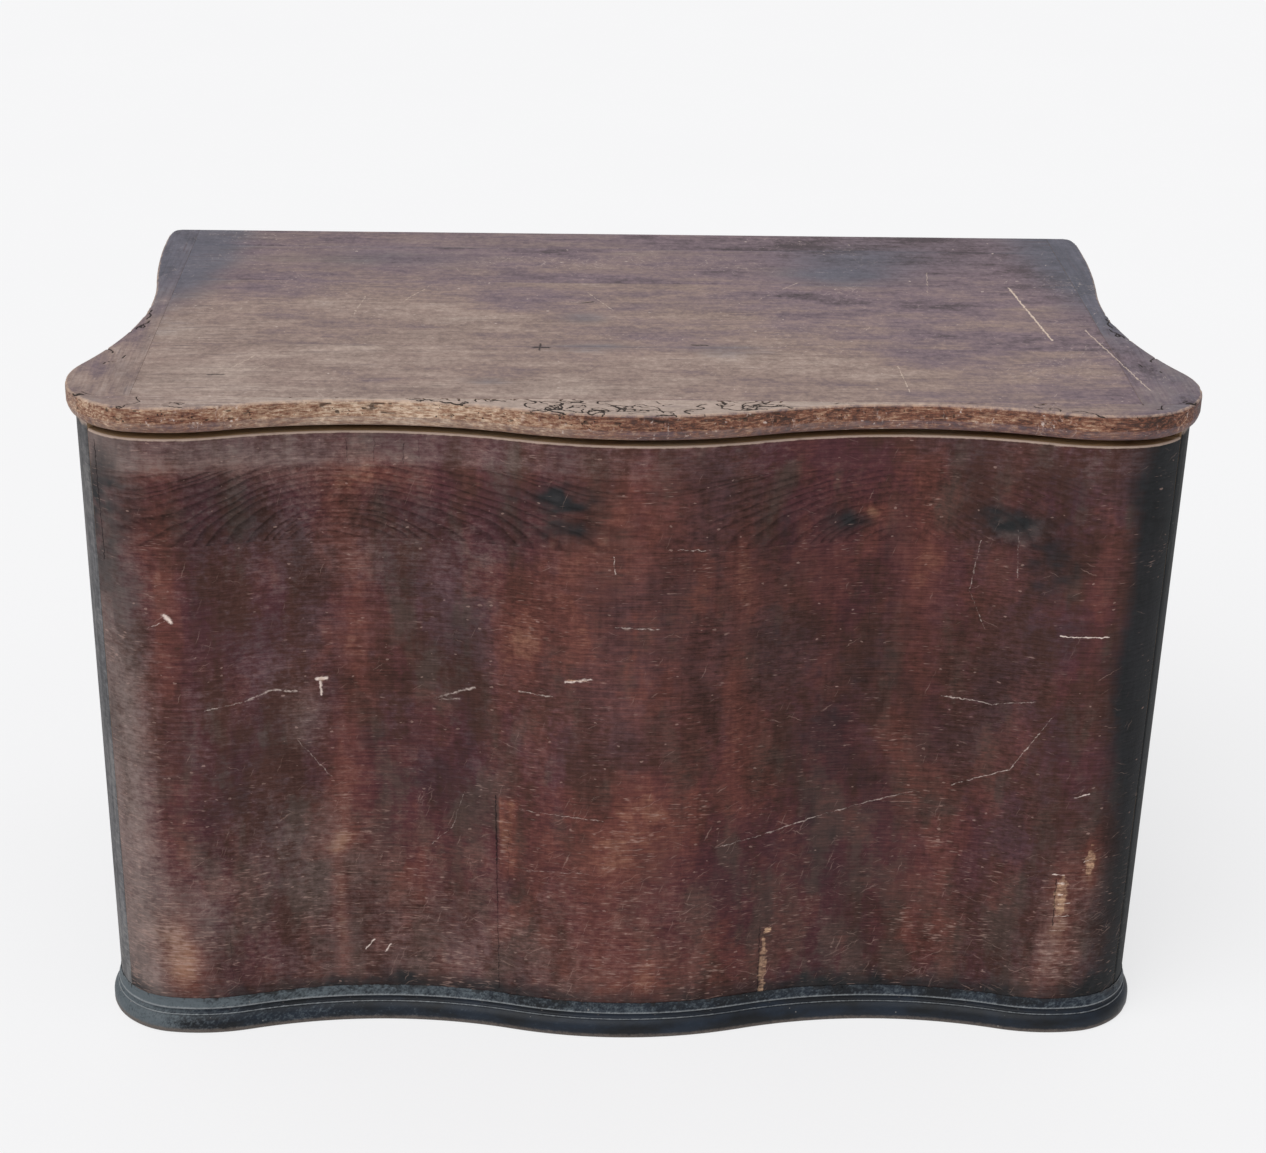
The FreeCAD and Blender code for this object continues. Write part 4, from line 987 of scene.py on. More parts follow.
def makeFront(look):
    places = stations(frontArcs, look["step"], tight=(0.0008, 0.003))
    for number in range(1, 6):
        name = "front_board_%d" % number
        low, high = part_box(name)[0].z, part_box(name)[1].z
        top = look["topArris"] if number == 5 else look["arris"]
        ring, hidden = boardSection(low, high, 0.0, -plan["wall"], look["step"], 0.03,
                                    (look["arris"], top))
        offsets = np.tile(ring[:, 0], (len(places[0]), 1))
        atEnd = (places[0] == 4) & (places[1] == 1)
        offsets[atEnd] = np.minimum(offsets[atEnd], -look["endChamfer"])
        rings = bothHalves(swept(frontArcs, places, offsets, ring[:, 1]))
        piece = loft(name, rings, [stainedPine, rawPine], hidden)[0]
        pithY, pithZ = look["pith"][number - 1]
        shift = 0.37 * number

        def edges(co):
            near = np.minimum(co[:, 2] - low, high - co[:, 2])
            found = smooth(near, 0.003, 0.0005) * 0.12
            return np.maximum(found, smooth(high - co[:, 2], 0.0030, 0.0008) * (number == 5) * 0.9)

        def grain(co):
            if number != 4:
                return co - np.array([shift, pithY, pithZ])
            (x1, z1, steep1, flat1), (x2, z2, steep2, flat2) = look["arches"]
            share = smooth(co[:, 0], -0.14, 0.10)
            left, right = co[:, 0] - x1, x2 - co[:, 0]
            left = left * np.where(left < 0, steep1, flat1)
            right = right * np.where(right < 0, steep2, flat2)
            wide = [0.095 * np.abs(np.tanh(away / 0.095)) for away in (left, right)]
            wide = wide[0] * (1 - share) + wide[1] * share
            wide = wide + 0.004 * roughness(co, (0.05, 0.05, 0.03), 51)
            rise = co[:, 2] - z1 * (1 - share) - z2 * share
            rise = rise + 0.005 * roughness(co, (0.07, 0.07, 0.03), 57)
            scale = frontStain["ringWidth"] / 1000 / look["archRing"]
            return np.stack([co[:, 0], wide * scale, rise * scale], 1)

        finishPiece(piece, "chest", name, grain,
                    frontWear(edges, look["tone"][number - 1], look["figure"][number - 1]),
                    frontLayers(edges))


# Sides: upright staves, six to a side

staves = {"count": 6, "step": 0.006, "arris": 0.0006, "topArris": 0.0010, "chamfer": 0.0005,
          "wear": 0.00018}


def makeSides(look):
    sides = sideArcs.copy()
    sides[-1, 5] = math.asin((plan["sideEndY"] - sides[-1, 1]) / sides[-1, 2])
    low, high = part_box("left_stave_1")[0].z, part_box("left_stave_1")[1].z
    for number, run in enumerate(splitChain(sides, look["count"]), 1):
        places = stations(run, look["step"], tight=(0.0006,))
        ring, hidden = boardSection(low, high, 0.0, -plan["wall"], 0.008, 0.03,
                                    (look["arris"], look["topArris"]))
        offsets = np.tile(ring[:, 0], (len(places[0]), 1))
        offsets[[0, -1]] = np.minimum(offsets[[0, -1]], -look["chamfer"])
        endY = plan["sideEndY"] if number == look["count"] else None
        rings = swept(run, places, offsets, ring[:, 1], endY=endY)
        for side in ("left", "right"):
            name = "%s_stave_%d" % (side, number)
            piece = loft(name, mirrored(rings) if side == "left" else rings,
                         [flankPineAndShade, rawPine], hidden)[0]
            middle = rings[:, :, :2].mean((0, 1)) * (1 if side == "right" else -1, 1)

            def grain(co):
                # upright: the grain runs with z, the pith lies behind the stave
                return np.stack([co[:, 2] + 0.31 * number,
                                 co[:, 1] - middle[1] + 0.012 * (number % 3),
                                 co[:, 0] - middle[0] * 0.82], 1)

            def wear(co, no):
                outside = smooth(np.abs(no[:, 0]), 0.3, 0.7)
                depth = look["wear"] * (1 + roughness(co, (0.04, 0.04, 0.12), 5)) * outside
                return depth, {"bare": np.zeros(len(co))}

            def layers(co, no):
                front = smooth(co[:, 1], 0.05, -0.20)
                low = smooth(co[:, 2], 0.20, 0.05)
                wet = roughness(co, (0.10, 0.10, 0.30), 41)
                full = np.ones(len(co))
                # The left flank is painted lighter, greyer and redder towards the front, with less
                # grime: painted light and sheen on the side that faces the light. The right flank
                # is darker all over: painted shade
                paintedLitSide = side == "left"
                return {
                    "rub": 0.12 + 0.15 * low + 0.12 * wet + 0.45 * front * paintedLitSide,
                    "grimeAndPaintedLight": 0.30 + 0.25 * front + 0.2 * wet - 0.65 * front * paintedLitSide,
                    "tone": (front * (0.45 - 0.20 * smooth(co[:, 2], 0.54, 0.68)) + 0.02
                             if paintedLitSide else -0.26)
                            + 0.02 * (number % 2) * full,
                    "dryWoodAndSheen": 0.15 * low + 0.30 * front * paintedLitSide,
                    "figure": full * 0.8,
                    "edge": smooth(high - co[:, 2], 0.003, 0.0008) * 0.7,
                }

            finishPiece(piece, "chest", name, grain, wear, layers)


# Base moulding

moulding = {
    "step": 0.003,
    "glueLine": 0.0001,
    "topEdge": 0.0006,
    "splayHeight": 0.011,
    "splayReach": 0.0032,
    "splaySag": 0.0009,
    "fillet": 0.0014,
    "hollowHeight": 0.0055,
    "hollowDepth": 0.0016,
    "bead": 0.0022,
    "stepOut": 0.0004,
    "roundLow": 0.008,
    "roundSwell": 0.16,
    "toe": 0.0015,
    "wear": 0.0001,
    "eatenDepth": 0.0009,        # worm along the upper edge
    "scuffDepth": 0.0007,        # along the floor
}


def threePointArc(a, b, c, count):
    # Points on the circle through a, b and c, leaving out a
    (ax, ay), (bx, by), (cx, cy) = a, b, c
    d = 2 * (ax * (by - cy) + bx * (cy - ay) + cx * (ay - by))
    ux = ((ax ** 2 + ay ** 2) * (by - cy) + (bx ** 2 + by ** 2) * (cy - ay)
          + (cx ** 2 + cy ** 2) * (ay - by)) / d
    uy = ((ax ** 2 + ay ** 2) * (cx - bx) + (bx ** 2 + by ** 2) * (ax - cx)
          + (cx ** 2 + cy ** 2) * (bx - ax)) / d
    radius = math.hypot(ax - ux, ay - uy)
    first, middle, last = (math.atan2(y - uy, x - ux) for x, y in (a, b, c))
    turn = (last - first) % (2 * math.pi)
    if (middle - first) % (2 * math.pi) > turn:
        turn -= 2 * math.pi
    angles = first + turn * np.arange(1, count + 1) / count
    return [(ux + radius * math.cos(t), uy + radius * math.sin(t)) for t in angles]


def mouldingSection(m, top, out):
    # Ring of (offset, height, edge, chalk) from the floor up the back and down the profile
    splayLow = top - m["splayHeight"]
    filletLow = splayLow - m["fillet"]
    hollowLow = filletLow - m["hollowHeight"]
    beadLow = hollowLow - m["bead"]
    reach, topReach = m["splayReach"], m["glueLine"] + m["topEdge"]
    stepReach = reach + m["stepOut"]
    roundMiddle = (stepReach + out) / 2 + m["roundSwell"] * (beadLow - m["roundLow"])
    ring = [(m["glueLine"], 0.0, 0, 0), (m["glueLine"], top * 0.5, 0, 0)]
    ring += [(m["glueLine"], top, 0.2, 1), (topReach, top, 0.2, 1)]
    splay = threePointArc((topReach, top), ((topReach + reach) / 2 - m["splaySag"],
                          (top + splayLow) / 2), (reach, splayLow), 7)
    ring += [(x, z, 0.15 + 0.75 * (i == 6), 1) for i, (x, z) in enumerate(splay)]
    ring += [(reach, (splayLow + filletLow) / 2, 1, 0.6), (reach, filletLow, 0.9, 0.4)]
    hollow = threePointArc((reach, filletLow), (reach - m["hollowDepth"],
                           (filletLow + hollowLow) / 2), (reach, hollowLow), 6)
    ring += [(x, z, 0.0, 0.0) for x, z in hollow[:-1]] + [(*hollow[-1], 0.3, 0.0)]
    ring += [(stepReach, hollowLow, 0.8, 0.2)]
    bead = threePointArc((stepReach, hollowLow), (stepReach + m["bead"] / 2,
                         (hollowLow + beadLow) / 2), (stepReach, beadLow), 5)
    ring += [(x, z, 0.8 if i in (0, 1, 2) else 0.1, 0.2) for i, (x, z) in enumerate(bead)]
    swell = threePointArc((stepReach, beadLow), (roundMiddle, (beadLow + m["roundLow"]) / 2),
                          (out, m["roundLow"]), 8)
    ring += [(x, z, 0.05, 0.12) for x, z in swell]
    ring += [(out, z, 0.15, 0.25) for z in (0.006, 0.004, m["toe"])]
    ring += [(out - m["toe"], 0.0, 0.4, 0.3)]
    return np.array(ring)


def makeMoulding(m):
    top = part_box("plinth_front")[1].z
    out = plan["frontY"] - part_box("plinth_front")[0].y
    section = mouldingSection(m, top, out)
    jobs = [("plinth_front", frontArcs, None, False), ("plinth_right", sideArcs,
            plan["backY"], False), ("plinth_left", sideArcs, plan["backY"], True)]
    for name, chain, endY, flip in jobs:
        places = stations(chain, m["step"], tight=(0.0005,))
        rings = swept(chain, places, section[:, 0], section[:, 1], endY=endY)
        if name == "plinth_front":
            rings = bothHalves(rings)
        elif flip:
            rings = mirrored(rings)
        piece = loft(name, rings, [ebonisedPine])[0]

        def layers(co, no):
            # each point takes its place on the profile back from its height
            heights = section[3:-1, 1][::-1]
            edge = np.interp(co[:, 2], heights, section[3:-1, 2][::-1])
            chalk = np.interp(co[:, 2], heights, section[3:-1, 3][::-1])
            foot = smooth(co[:, 2], 0.009, 0.002) * 0.75
            left = smooth(co[:, 0], 0.1, -0.5) * 0.25 + smooth(co[:, 0], -0.44, -0.54) * 0.35
            return {"edge": edge * 0.8 + left * 0.3, "chalk": 0.66 * chalk + 2.2 * left,
                    "foot": foot + left * 0.4}

        def wear(co, no):
            facing = no[:, 2] > -0.9
            depth = m["wear"] * (1 + roughness(co, (0.03, 0.03, 0.008), 9)) * facing
            high = smooth(np.abs(co[:, 2] - top + 0.002), 0.0045, 0.001)
            eaten = smooth(roughness(co, (0.007, 0.007, 0.004), 13), 0.05, 0.25) * high
            low = smooth(co[:, 2], 0.006, 0.001) * smooth(roughness(co, 0.03, 19), 0.3, 0.8)
            depth += m["eatenDepth"] * eaten * facing + m["scuffDepth"] * low * facing
            return depth, {"tunnel": eaten}

        def grain(co):
            return np.stack([co[:, 0] + co[:, 1], co[:, 1] - co[:, 0], co[:, 2]], 1)

        finishPiece(piece, "chest", name, grain, wear, layers, 50)


# Lid

lid = {
    "top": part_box("lid_plank_2")[1].z,
    "bottom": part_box("lid_plank_2")[0].z,
    "frontJoint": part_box("lid_front_strip")[1].y,
    "endJoint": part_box("lid_plank_2")[1].x,
    "overhang": 0.0084,
    "arris": 0.0035,
    "roundHeight": 0.012,
    "roundDepth": 0.010,
    "roundSwell": 0.0028,
    "quirk": 0.0004,
    "backCorner": 0.013,
    "shoulder": 0.014,
    "step": 0.00125,             # mesh size along the front edge
    "endStep": 0.0025,
    "plankStep": 0.0045,
    "plankArris": 0.0003,
    "plankTone": [0.02, 0.0, -0.02, -0.04],
    "plankPith": [-0.150, 0.010, 0.190, 0.300],    # y (m)
    "channels": 105,             # worm channels along the front edge
    "channelWidth": 0.0009,      # half width
    "channelDepth": 0.0013,
    "channelStride": 0.0009,     # a channel turns a little after each
    "wear": 0.00018,
    "plankWear": 0.0002,
    "pitDepth": 0.00085,
    "chipDepth": 0.0011,
}


def lidEdge(l):
    # (offset, height, run) from the shoulder on the top, over the arris and down the profile;
    # run is the distance along the surface from the arris, below zero on the top
    top, out, arris = l["top"], l["overhang"], l["arris"]
    roundTop = l["bottom"] + l["roundHeight"]
    inner, outer = out - l["roundDepth"], out - l["quirk"]
    swell = l["roundSwell"] / math.hypot(outer - inner, l["roundHeight"])
    middle = ((inner + outer) / 2 + swell * l["roundHeight"],
              (l["bottom"] + roundTop) / 2 - swell * (outer - inner))
    points = [(x, top) for x in np.linspace(out - l["shoulder"], out - arris, 8)]
    points += [(out - arris + arris * math.sin(a), top - arris + arris * math.cos(a))
               for a in np.linspace(0, math.pi / 2, 5)[1:]]
    points += [(out, z) for z in np.linspace(top - arris, roundTop, 12)[1:]]
    points += [(outer, roundTop)]
    points += threePointArc((outer, roundTop), middle, (inner, l["bottom"]), 11)
    points = np.array(points)
    run = np.append(0, np.cumsum(np.hypot(*np.diff(points, axis=0).T)))
    return points, run - run[9]


def wormPaths(half, seed, count):
    # Wandering level channels in the unrolled edge: (place along the edge, run)
    chance = np.random.default_rng(seed)
    found = []
    for _ in range(count):
        s = chance.choice([chance.normal(-0.03, 0.08), chance.normal(0.0, 0.21),
                           chance.uniform(-half, half)], p=[0.36, 0.46, 0.18])
        w = chance.choice([-chance.uniform(0.002, 0.034), chance.normal(0.008, 0.004)],
                          p=[0.86, 0.14])
        heading = 0.0 if chance.random() < 0.5 else math.pi
        width = chance.uniform(1.10, 1.65) if w < 0 else chance.uniform(0.32, 0.55)
        for _ in range(int(chance.uniform(8, 75))):
            found.append((s, w, width))
            heading += chance.normal(0, 0.40) - 0.10 * math.sin(2 * heading)
            s += lid["channelStride"] * math.cos(heading)
            w += lid["channelStride"] * math.sin(heading) * 0.8
            if w < -0.038 or w > 0.016 or (width > 0.56 and w > 0.0015):
                break
    return np.array(found)


def lidGrain(shift, pithY, turn=False):
    # Distance along the board and from its pith, which lies below the lid
    def grain(co):
        along, across = (co[:, 1], co[:, 0]) if turn else (co[:, 0], co[:, 1])
        return np.stack([along + shift, across - pithY, co[:, 2] - lid["top"] + 0.11], 1)
    return grain


def lidStrip(l, name, chain, startY, endY, flip):
    # A strip between a straight joint and the curved, moulded edge
    edge, run = lidEdge(l)
    front = name == "lid_front_strip"
    step = l["step"] if front else l["endStep"]
    places = stations(chain, step, tight=() if front else
                      (0.0004, 0.001, 0.002, 0.0035, 0.005, 0.007, 0.010, 0.013))
    offsets = np.tile(edge[:, 0], (len(places[0]), 1))
    heights = np.tile(edge[:, 1], (len(places[0]), 1))
    if front:
        flat = alongPlan(chain, places, offsets, startY, endY)
        # in the hollows of the front the joint comes close to the edge: nothing passes it
        for row in np.flatnonzero((places[0] < 4) & (flat[:, 0, 1] > l["frontJoint"] - 0.001)):
            y0, y7 = flat[row, 0, 1], flat[row, 7, 1]
            reach = (edge[0, 0] - edge[7, 0]) / (y0 - y7)
            stop = edge[7, 0] + (l["frontJoint"] - y7) * reach
            offsets[row, :8] = np.linspace(stop - 0.0005 * reach, edge[7, 0], 8)
            past = np.flatnonzero(edge[:, 0] < stop)
            past = past[past > 12]
            heights[row, past] = np.interp(stop, edge[:13:-1, 0], edge[:13:-1, 1])
            offsets[row, past] = stop
    outer = swept(chain, places, offsets, heights, startY, endY)
    joint = outer[:, 0].copy()
    if front:
        joint[:, 1] = l["frontJoint"]
    else:
        joint[:, 0] = l["endJoint"]
    count = 41 if front else 20
    share = np.linspace(0, 1, count)[:-1, None]
    inside = joint[:, None] * (1 - share) + outer[:, :1] * share
    under = outer[:, -1:] * (1 - share[5::5]) + (joint[:, None] * share[5::5])
    under[..., 2] = heights[:, -1:]
    foot = joint[:, None].copy()
    foot[..., 2] = heights[:, -1:]
    rings = np.concatenate([inside, outer, under, foot], 1)
    place = np.append(0, np.cumsum(np.hypot(*np.diff(outer[:, 14, :2], axis=0).T)))
    runs = np.tile(np.concatenate([share[:, 0], run, run[-1] + 0.01 + share[5::5, 0],
                                   [run[-1] + 1.2]]), (len(rings), 1))
    runs[:, :len(share)] = run[0] - np.linalg.norm(inside - outer[:, :1], axis=2)
    if not front:
        # round the back corner and ease the back arris
        backY, arris, corner = plan["backY"], l["arris"], l["backCorner"]
        hip = arcs[-1]
        turnY = backY - corner
        turnX = hip[0] + math.sqrt((hip[2] + l["overhang"] - corner) ** 2 - (turnY - hip[1]) ** 2)
        reach = corner - (l["overhang"] - np.minimum(edge[:, 0], l["overhang"]))
        reach = np.concatenate([np.full(len(share), reach[0]), reach,
                                np.full(len(share[5::5]) + 1, reach[-1])])
        past = np.clip(rings[..., 1] - turnY, 0, corner)
        limit = turnX + np.sqrt(np.clip(reach ** 2 - past ** 2, 0, None))
        rings[..., 0] = np.where(rings[..., 1] > turnY, np.minimum(rings[..., 0], limit),
                                 rings[..., 0])
        drop = np.clip(rings[..., 1] - (backY - arris), 0, arris)
        ceiling = l["top"] - arris + np.sqrt(arris ** 2 - drop ** 2)
        rings[..., 2] = np.minimum(rings[..., 2], ceiling)
    along = np.broadcast_to(place[:, None], rings.shape[:2])
    if front:
        rings = bothHalves(rings)
        runs = np.concatenate([runs[:0:-1], runs])
        along = np.concatenate([-along[:0:-1], along])
    elif flip:
        rings = mirrored(rings)
    hidden = np.arange(rings.shape[1]) >= len(share) + len(edge) - 1
    unrolled = np.stack([along, runs], -1)
    return loft(name, rings, [weatheredPine, rawPine], hidden, unrolled, 0)


# Blue-grey places on the planks: x, y, half sizes, strength
bluePlaces = [
    (0.239, 0.137, 0.06, 0.03, 0.5), (-0.047, -0.105, 0.05, 0.02, 0.4),
    (0.088, -0.108, 0.05, 0.02, 0.4), (0.265, 0.2, 0.07, 0.03, 0.36),
    (-0.15, -0.205, 0.03, 0.014, 0.4), (-0.055, -0.015, 0.03, 0.02, 0.4),
    (-0.27, 0.18, 0.08, 0.03, 0.25),
]


def topRub(x, y):
    # How much the top of the lid is worn: most at its front and left
    rub = 0.52 - 0.36 * smooth(y, -0.25, 0.28) - 0.17 * smooth(x, 0.05, 0.32)
    rub = rub + 0.06 * smooth(-x, 0.0, 0.4) - 0.20 * smooth(np.abs(x), 0.45, 0.54)
    return rub + spots(x, y, [(-0.48, -0.04, 0.03, 0.08, 0.15), (-0.411, -0.176, 0.03, 0.04, 0.3)])


def endPaintedSkySheen(x, y):
    # Blue-grey on the ends of the lid, towards the back: painted reflection of the sky
    return 0.48 * smooth(y, -0.12, 0.16) * smooth(np.abs(x), 0.42, 0.54)


def makeLidStrips(l):
    jobs = [("lid_front_strip", arcs[:5], None, l["frontJoint"], False),
            ("lid_end_strip_right", arcs[4:], l["frontJoint"], plan["backY"], False),
            ("lid_end_strip_left", arcs[4:], l["frontJoint"], plan["backY"], True)]
    for name, chain, startY, endY, flip in jobs:
        front = name == "lid_front_strip"
        piece, unrolled = lidStrip(l, name, chain, startY, endY, flip)
        paths = wormPaths(0.56, 5, l["channels"]) if front else wormPaths(0.56, 8, 8)
        if not front:
            paths[:, 0] = np.abs(paths[:, 0])
        tree = kdtree.KDTree(len(paths))
        for number, (s, w, width) in enumerate(paths):
            tree.insert((s, w, 0), number)
        tree.balance()

        def wear(co, no):
            s, w = unrolled[:, 0], unrolled[:, 1]
            depth = l["wear"] * (1 + roughness(co, (0.06, 0.02, 0.02), 3))
            depth *= smooth(w, 0.030, 0.022)
            near = (w > -0.042) & (w < 0.024)
            tunnel = np.zeros(len(co))
            for number in np.flatnonzero(near):
                _, which, gap = tree.find((s[number], w[number], 0))
                tunnel[number] = 1 - gap / (l["channelWidth"] * 1.6 * paths[which, 2])
            tunnel = np.clip(tunnel, 0, 1)
            depth = np.maximum(depth, l["channelDepth"] * smooth(tunnel, 0.1, 0.75))
            # the upright face is eaten into fine level pits
            face = smooth(w, 0.0, 0.003) * smooth(w, 0.019, 0.0145)
            unroll = np.stack([s, w, np.zeros(len(s))], 1)
            share = 0.55 + 0.35 * smooth(s, 0.35, 0.10) if front else np.full(len(s), 0.35)
            rough = roughness(unroll, (0.0075, 0.0032, 1), 13, 2)
            pits = smooth(rough, 0.62 - 0.55 * share, 0.95 - 0.55 * share) * face
            depth += l["pitDepth"] * pits
            chips = smooth(roughness(unroll, (0.020, 0.006, 1), 29), 0.30, 0.6)
            chips *= smooth(np.abs(w), 0.005, 0.001)
            depth += l["chipDepth"] * chips
            under = w > 0.024
            return np.where(under, 0.0, depth), {
                "tunnel": np.maximum(tunnel * 1.1, 0.62 * pits),
                "eaten": face * (0.6 + 0.4 * share)}

        def layers(co, no):
            s, w = unrolled[:, 0], unrolled[:, 1]
            warm = smooth(w, -0.0025, 0.0035) * 0.75 - 0.25 * smooth(w, 0.015, 0.018)
            ends = smooth(np.abs(co[:, 0]), 0.43, 0.57)
            if not front:
                warm = warm * 0.75
            top = w < 0
            x = co[:, 0]
            face = np.interp(x, [-0.55, -0.42, -0.30, -0.20, -0.05, 0.15, 0.38, 0.50],
                             [0.44, 0.28, 0.66, 0.64, 0.24, 0.09, 0.20, 0.06])
            lip = smooth(np.abs(x + 0.03), 0.48, 0.20) * front
            rub = np.where(top, topRub(x, co[:, 1]) + 0.34 * lip, face)
            rub = rub + front * top * spots(x, w, [(-0.01, -0.006, 0.13, 0.020, 0.34)])
            blot = np.clip(roughness(co, (0.022, 0.030, 1), 83) * 2, -1, 1)
            rub = rub + 0.12 * blot * (not front) * top
            return {
                "warm": warm,
                "rub": rub,
                # blue-grey, more on the right end and towards the back, where it is painted
                # reflection of the sky
                "grimeAndPaintedLight": 0.14 + 0.20 * ends * (x > 0) + endPaintedSkySheen(x, co[:, 1])
                        + 0.25 * (not front) * (x > 0) * smooth(co[:, 1], -0.12, 0.02)
                        + (0.12 * ends if front else 0.08) * top,
                "tone": np.full(len(co), 0.02 if front else 0.0) + 0.06 * lip * top
                        + 0.10 * blot * (not front) * top,
                "streaky": np.full(len(co), 0.5 if front else 0.0),
                "edge": smooth(np.abs(w), 0.0035, 0.0012) * 0.60
                        + smooth(np.abs(w - 0.0165), 0.0022, 0.0006) * 0.35
                        + smooth(np.abs(w - 0.0290), 0.0035, 0.0012) * 0.30,
                "topSide": (w < -0.001).astype(float),
            }

        grain = lidGrain(0.2, -0.20) if front else lidGrain(0.9, 0.46 * (-1 if flip else 1), True)
        finishPiece(piece, "lid", name, grain, wear, layers, 50)


def makeLidPlanks(l):
    top, bottom, arris = l["top"], l["bottom"], l["plankArris"]
    for number in range(1, 5):
        name = "lid_plank_%d" % number
        low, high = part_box(name)
        backArris = l["arris"] if number == 4 else arris
        ys = np.linspace(low.y + arris, high.y - backArris,
                         max(4, round((high.y - low.y) / l["plankStep"])))
        section = [(low.y, z) for z in np.linspace(bottom + 0.0005, bottom + l["roundHeight"], 6)]
        section += [(low.y, top - arris)]
        section += [(y, top) for y in ys]
        section += [(high.y - backArris + backArris * math.sin(a),
                     top - backArris + backArris * math.cos(a))
                    for a in np.linspace(0, math.pi / 2, 2 if number < 4 else 5)[1:]]
        section += [(high.y, bottom + 0.0005)]
        section += [(y, bottom) for y in np.linspace(high.y - 0.0005, low.y + 0.0005, 8)]
        section = np.array(section)
        xs = np.linspace(low.x, high.x, round((high.x - low.x) / l["plankStep"]))
        xs[0], xs[-1] = xs[0] + 0.0001, xs[-1] - 0.0001
        xs = np.sort(np.append(xs, [xs[0] + 0.0003, xs[-1] - 0.0003]))
        rings = extruded(xs, section)
        rings[[0, -1], :, 2] = np.clip(rings[[0, -1], :, 2], bottom + 0.0002, top - 0.0002)
        if number == 1:
            # the round of the edge cuts into this plank in the hollows of the front
            line = alongPlan(arcs[:4], stations(arcs[:4], 0.004), np.zeros((1, 1)))[:, 0]
            edge = lidEdge(l)[0][13:][::-1]
            limit = np.interp(np.abs(xs), *line.T)[:, None]
            limit = limit - np.interp(section[:, 1], *edge.T[::-1])
            limit = np.where(section[:, 1] < edge[-1, 1], limit, low.y)
            rings[..., 1] = np.maximum(rings[..., 1], limit)
        piece = loft(name, rings, [weatheredPine, rawPine],
                     np.append(np.zeros(len(section) - 9, int), np.ones(9, int)))[0]

        def wear(co, no):
            up = smooth(no[:, 2], 0.5, 0.9)
            depth = l["plankWear"] * (1 + roughness(co, (0.12, 0.03, 0.03), 3 + number)) * up
            return depth, {"tunnel": np.zeros(len(co))}

        def layers(co, no):
            x, y = co[:, 0], co[:, 1]
            side = np.minimum(y - low.y, high.y - y)
            end = np.minimum(x - low.x, high.x - x)
            dirt = smooth(side, 0.004, 0.0008) * 0.08 + smooth(end, 0.005, 0.001) * 0.03
            mottled = np.clip(roughness(co, (0.045, 0.026, 1), 87, 4) * 2, -1, 1)
            return {
                "warm": np.zeros(len(co)),
                "rub": topRub(x, y) - dirt,
                # blue-grey towards the back and the back left: painted reflection of the sky; the
                # blotches and the dirt along the joints are the wood's own
                "grimeAndPaintedLight": 0.20 * smooth(y, -0.1, 0.28)
                        + 0.05 * smooth(x, 0.0, 0.4) * smooth(y, 0, 0.2)
                        + 0.35 * smooth(y, -0.05, 0.20) * smooth(-x, 0.38, 0.50)
                        + spots(x, y, bluePlaces) + dirt + endPaintedSkySheen(x, y)
                        + 0.12 * smooth(np.abs(x), 0.42, 0.50),
                "streaky": 0.8 * smooth(-x, 0.25, 0.50) * smooth(-x, 0.51, 0.46)
                           + 0.4 * smooth(x, 0.38, 0.5) + 0.4 * smooth(y, 0.22, 0.28),
                "tone": l["plankTone"][number - 1] + 0.05 * mottled,
                "edge": np.zeros(len(co)),
                "topSide": (no[:, 2] > 0.5).astype(float),
            }

        finishPiece(piece, "lid", name,
                    lidGrain(0.43 * number, l["plankPith"][number - 1]), wear, layers)


# Back: four sawn boards

backBoards = {"step": 0.02, "arris": 0.0007, "notchX": 0.3005, "notchHalf": 0.0186,
              "notchLow": 0.7014}


def makeBack(b):
    for number in range(1, 5):
        name = "back_board_%d" % number
        low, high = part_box(name)
        arris = b["arris"]
        zs = np.linspace(low.z + arris, high.z - arris, 24)
        section = [(low.y + arris, low.z), (high.y - arris, low.z), (high.y, low.z + arris)]
        section += [(high.y, z) for z in zs[1:-1]]
        section += [(high.y, high.z - arris), (high.y - arris, high.z), (low.y + arris, high.z),
                    (low.y, high.z - arris)]
        section += [(low.y, z) for z in np.linspace(high.z, low.z, 6)[1:-1]]
        section += [(low.y, low.z + arris)]
        section = np.array(section)
        xs = np.linspace(low.x, high.x, round((high.x - low.x) / b["step"]))
        tops = np.full(len(xs), high.z)
        if number == 4:
            for side in (-1, 1):
                a, c = side * b["notchX"] - b["notchHalf"], side * b["notchX"] + b["notchHalf"]
                keep = (xs < a - 0.001) | (xs > c + 0.001)
                xs, tops = xs[keep], tops[keep]
                xs = np.append(xs, [a, a, (a + c) / 2, c, c])
                tops = np.append(tops, [high.z, *[b["notchLow"]] * 3, high.z])
            order = np.lexsort((np.arange(len(xs)), xs))
            xs, tops = xs[order], tops[order]
        rings = extruded(xs, section)
        rings[..., 2] = np.minimum(rings[..., 2], tops[:, None])
        piece = loft(name, rings, [backPine])[0]

        def grain(co):
            return co - np.array([0.7 * number, low.y - 0.10, (low.z + high.z) / 2 - 0.02])

        finishPiece(piece, "chest", name, grain)


makeFront(frontBoards)
print("front made")
makeSides(staves)
makeMoulding(moulding)
print("sides and base moulding made")
makeLidStrips(lid)
makeLidPlanks(lid)
print("lid made")
makeBack(backBoards)
print("back made")


# Pieces that keep their mesh from the frame: only their surfaces change

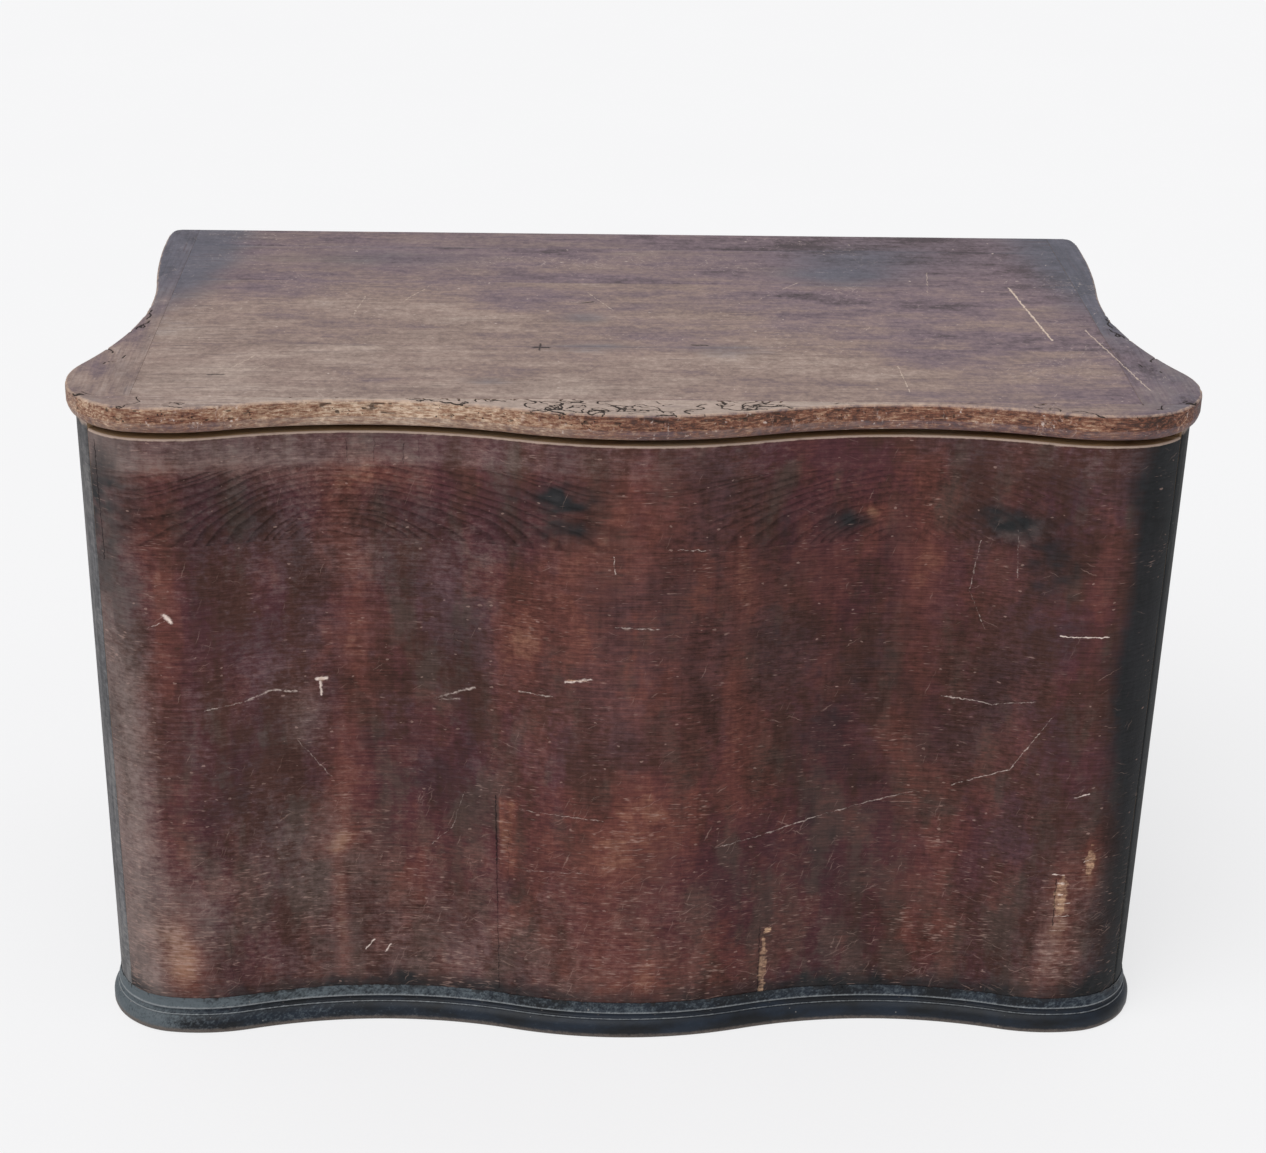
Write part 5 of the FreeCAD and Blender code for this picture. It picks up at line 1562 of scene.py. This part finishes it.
kept = {
    "raw_pine_along_x": ["bottom_board_%d" % n for n in range(1, 5)],
    "raw_pine_along_y": ["floor_runner_left", "floor_runner_centre", "floor_runner_right",
                         "lid_batten_left", "lid_batten_right"],
    "raw_pine_along_z": ["corner_post_left", "corner_post_right", "plinth_glue_blocks"],
    "wrought_iron": ["hinge_%s_%s" % (part, side) for part in ("leaf", "strap", "pin")
                     for side in ("left", "right")] + ["plinth_brads"] + [
                         where + "_nails" for where in ("bottom", "back", "runner", "batten",
                                                        "hinge_leaf", "hinge_strap")],
}
for materialName, nodes in kept.items():
    for node in nodes:
        target = bpy.data.objects[node]
        for slot in target.material_slots:
            slot.material = bpy.data.materials[materialName]
print("surfaces given to the other pieces")


# Studio: a wide pale floor, soft sunlight from the upper left and an even sky

studio = {
    "floorColour": "#f6f6f7",
    "floorSize": 300.0,
    "ownLight": 0.72,
    "sunStrength": 1.85,
    "sunSpread": 55.0,           # degrees; wide for soft shadows
    "sunFrom": (-0.42, -0.62, 1.0),
    "skyStrength": 0.55,
}


def makeStudio(s):
    half = s["floorSize"] / 2
    mesh = bpy.data.meshes.new("floor")
    mesh.from_pydata([(-half, -half, 0), (half, -half, 0), (half, half, 0), (-half, half, 0)],
                     [], [(0, 1, 2, 3)])
    floor = bpy.data.objects.new("floor", mesh)
    bpy.context.scene.collection.objects.link(floor)
    material, tree, place = newMaterial("floor_paper")
    fibre = stretched(tree, place, (3, 3, 3), 1.0)
    sheet = stretched(tree, place, (400, 400, 400), 2.0)
    colour = shaded(tree, hexColour(s["floorColour"])[:3], 0.989, (fibre, 0.010), (sheet, 0.012))
    surface(tree, colour, [0.9], [(fibre, 1.0)], 0.0001, specular=0.1)
    # the camera sees the paper partly by its own light, which keeps the shadow soft and pale
    output = tree.nodes["Material Output"]
    paper = output.inputs["Surface"].links[0].from_socket
    path = add(tree, "LightPath").node.outputs
    seen = add(tree, "Math", {0: path["Is Camera Ray"], 1: path["Is Glossy Ray"]},
               operation="MAXIMUM")
    seen = add(tree, "Math", {0: seen, 1: path["Is Transmission Ray"]}, operation="MAXIMUM")
    seen = add(tree, "Math", {0: seen, 1: s["ownLight"]}, operation="MULTIPLY")
    glow = add(tree, "Emission", {"Color": colour, "Strength": 1.0})
    both = add(tree, "MixShader", {0: seen, 1: paper, 2: glow})
    tree.links.new(both, output.inputs["Surface"])
    mesh.materials.append(material)
    sun = bpy.data.lights.new("sun", "SUN")
    sun.energy = s["sunStrength"]
    sun.angle = math.radians(s["sunSpread"])
    lamp = bpy.data.objects.new("sun", sun)
    lamp.rotation_euler = Vector(s["sunFrom"]).to_track_quat("Z", "Y").to_euler()
    bpy.context.scene.collection.objects.link(lamp)
    world = bpy.data.worlds.new("sky")
    world.use_nodes = True
    back = world.node_tree.nodes["Background"]
    back.inputs["Color"].default_value = (1, 1, 1, 1)
    back.inputs["Strength"].default_value = s["skyStrength"]
    bpy.context.scene.world = world


makeStudio(studio)


# Camera: stands in front, a little left, and looks down

view = {
    "place": (-0.08842, -2.52121, 1.62403),
    "down": 25.5,
    "right": 2.175,
    "roll": 1.2716,
    "lens": 70.1,
}


def makeCamera(v):
    data = bpy.data.cameras.new("camera")
    data.lens = v["lens"]
    data.sensor_width = 36.0
    data.sensor_fit = "HORIZONTAL"
    camera = bpy.data.objects.new("camera", data)
    camera.matrix_world = (Matrix.Translation(v["place"])
                           @ Matrix.Rotation(math.radians(-v["right"]), 4, "Z")
                           @ Matrix.Rotation(math.radians(90 - v["down"]), 4, "X")
                           @ Matrix.Rotation(math.radians(v["roll"]), 4, "Z"))
    bpy.context.scene.collection.objects.link(camera)
    bpy.context.scene.camera = camera


makeCamera(view)
bpy.context.scene.view_settings.view_transform = "Standard"
print("studio and camera ready")
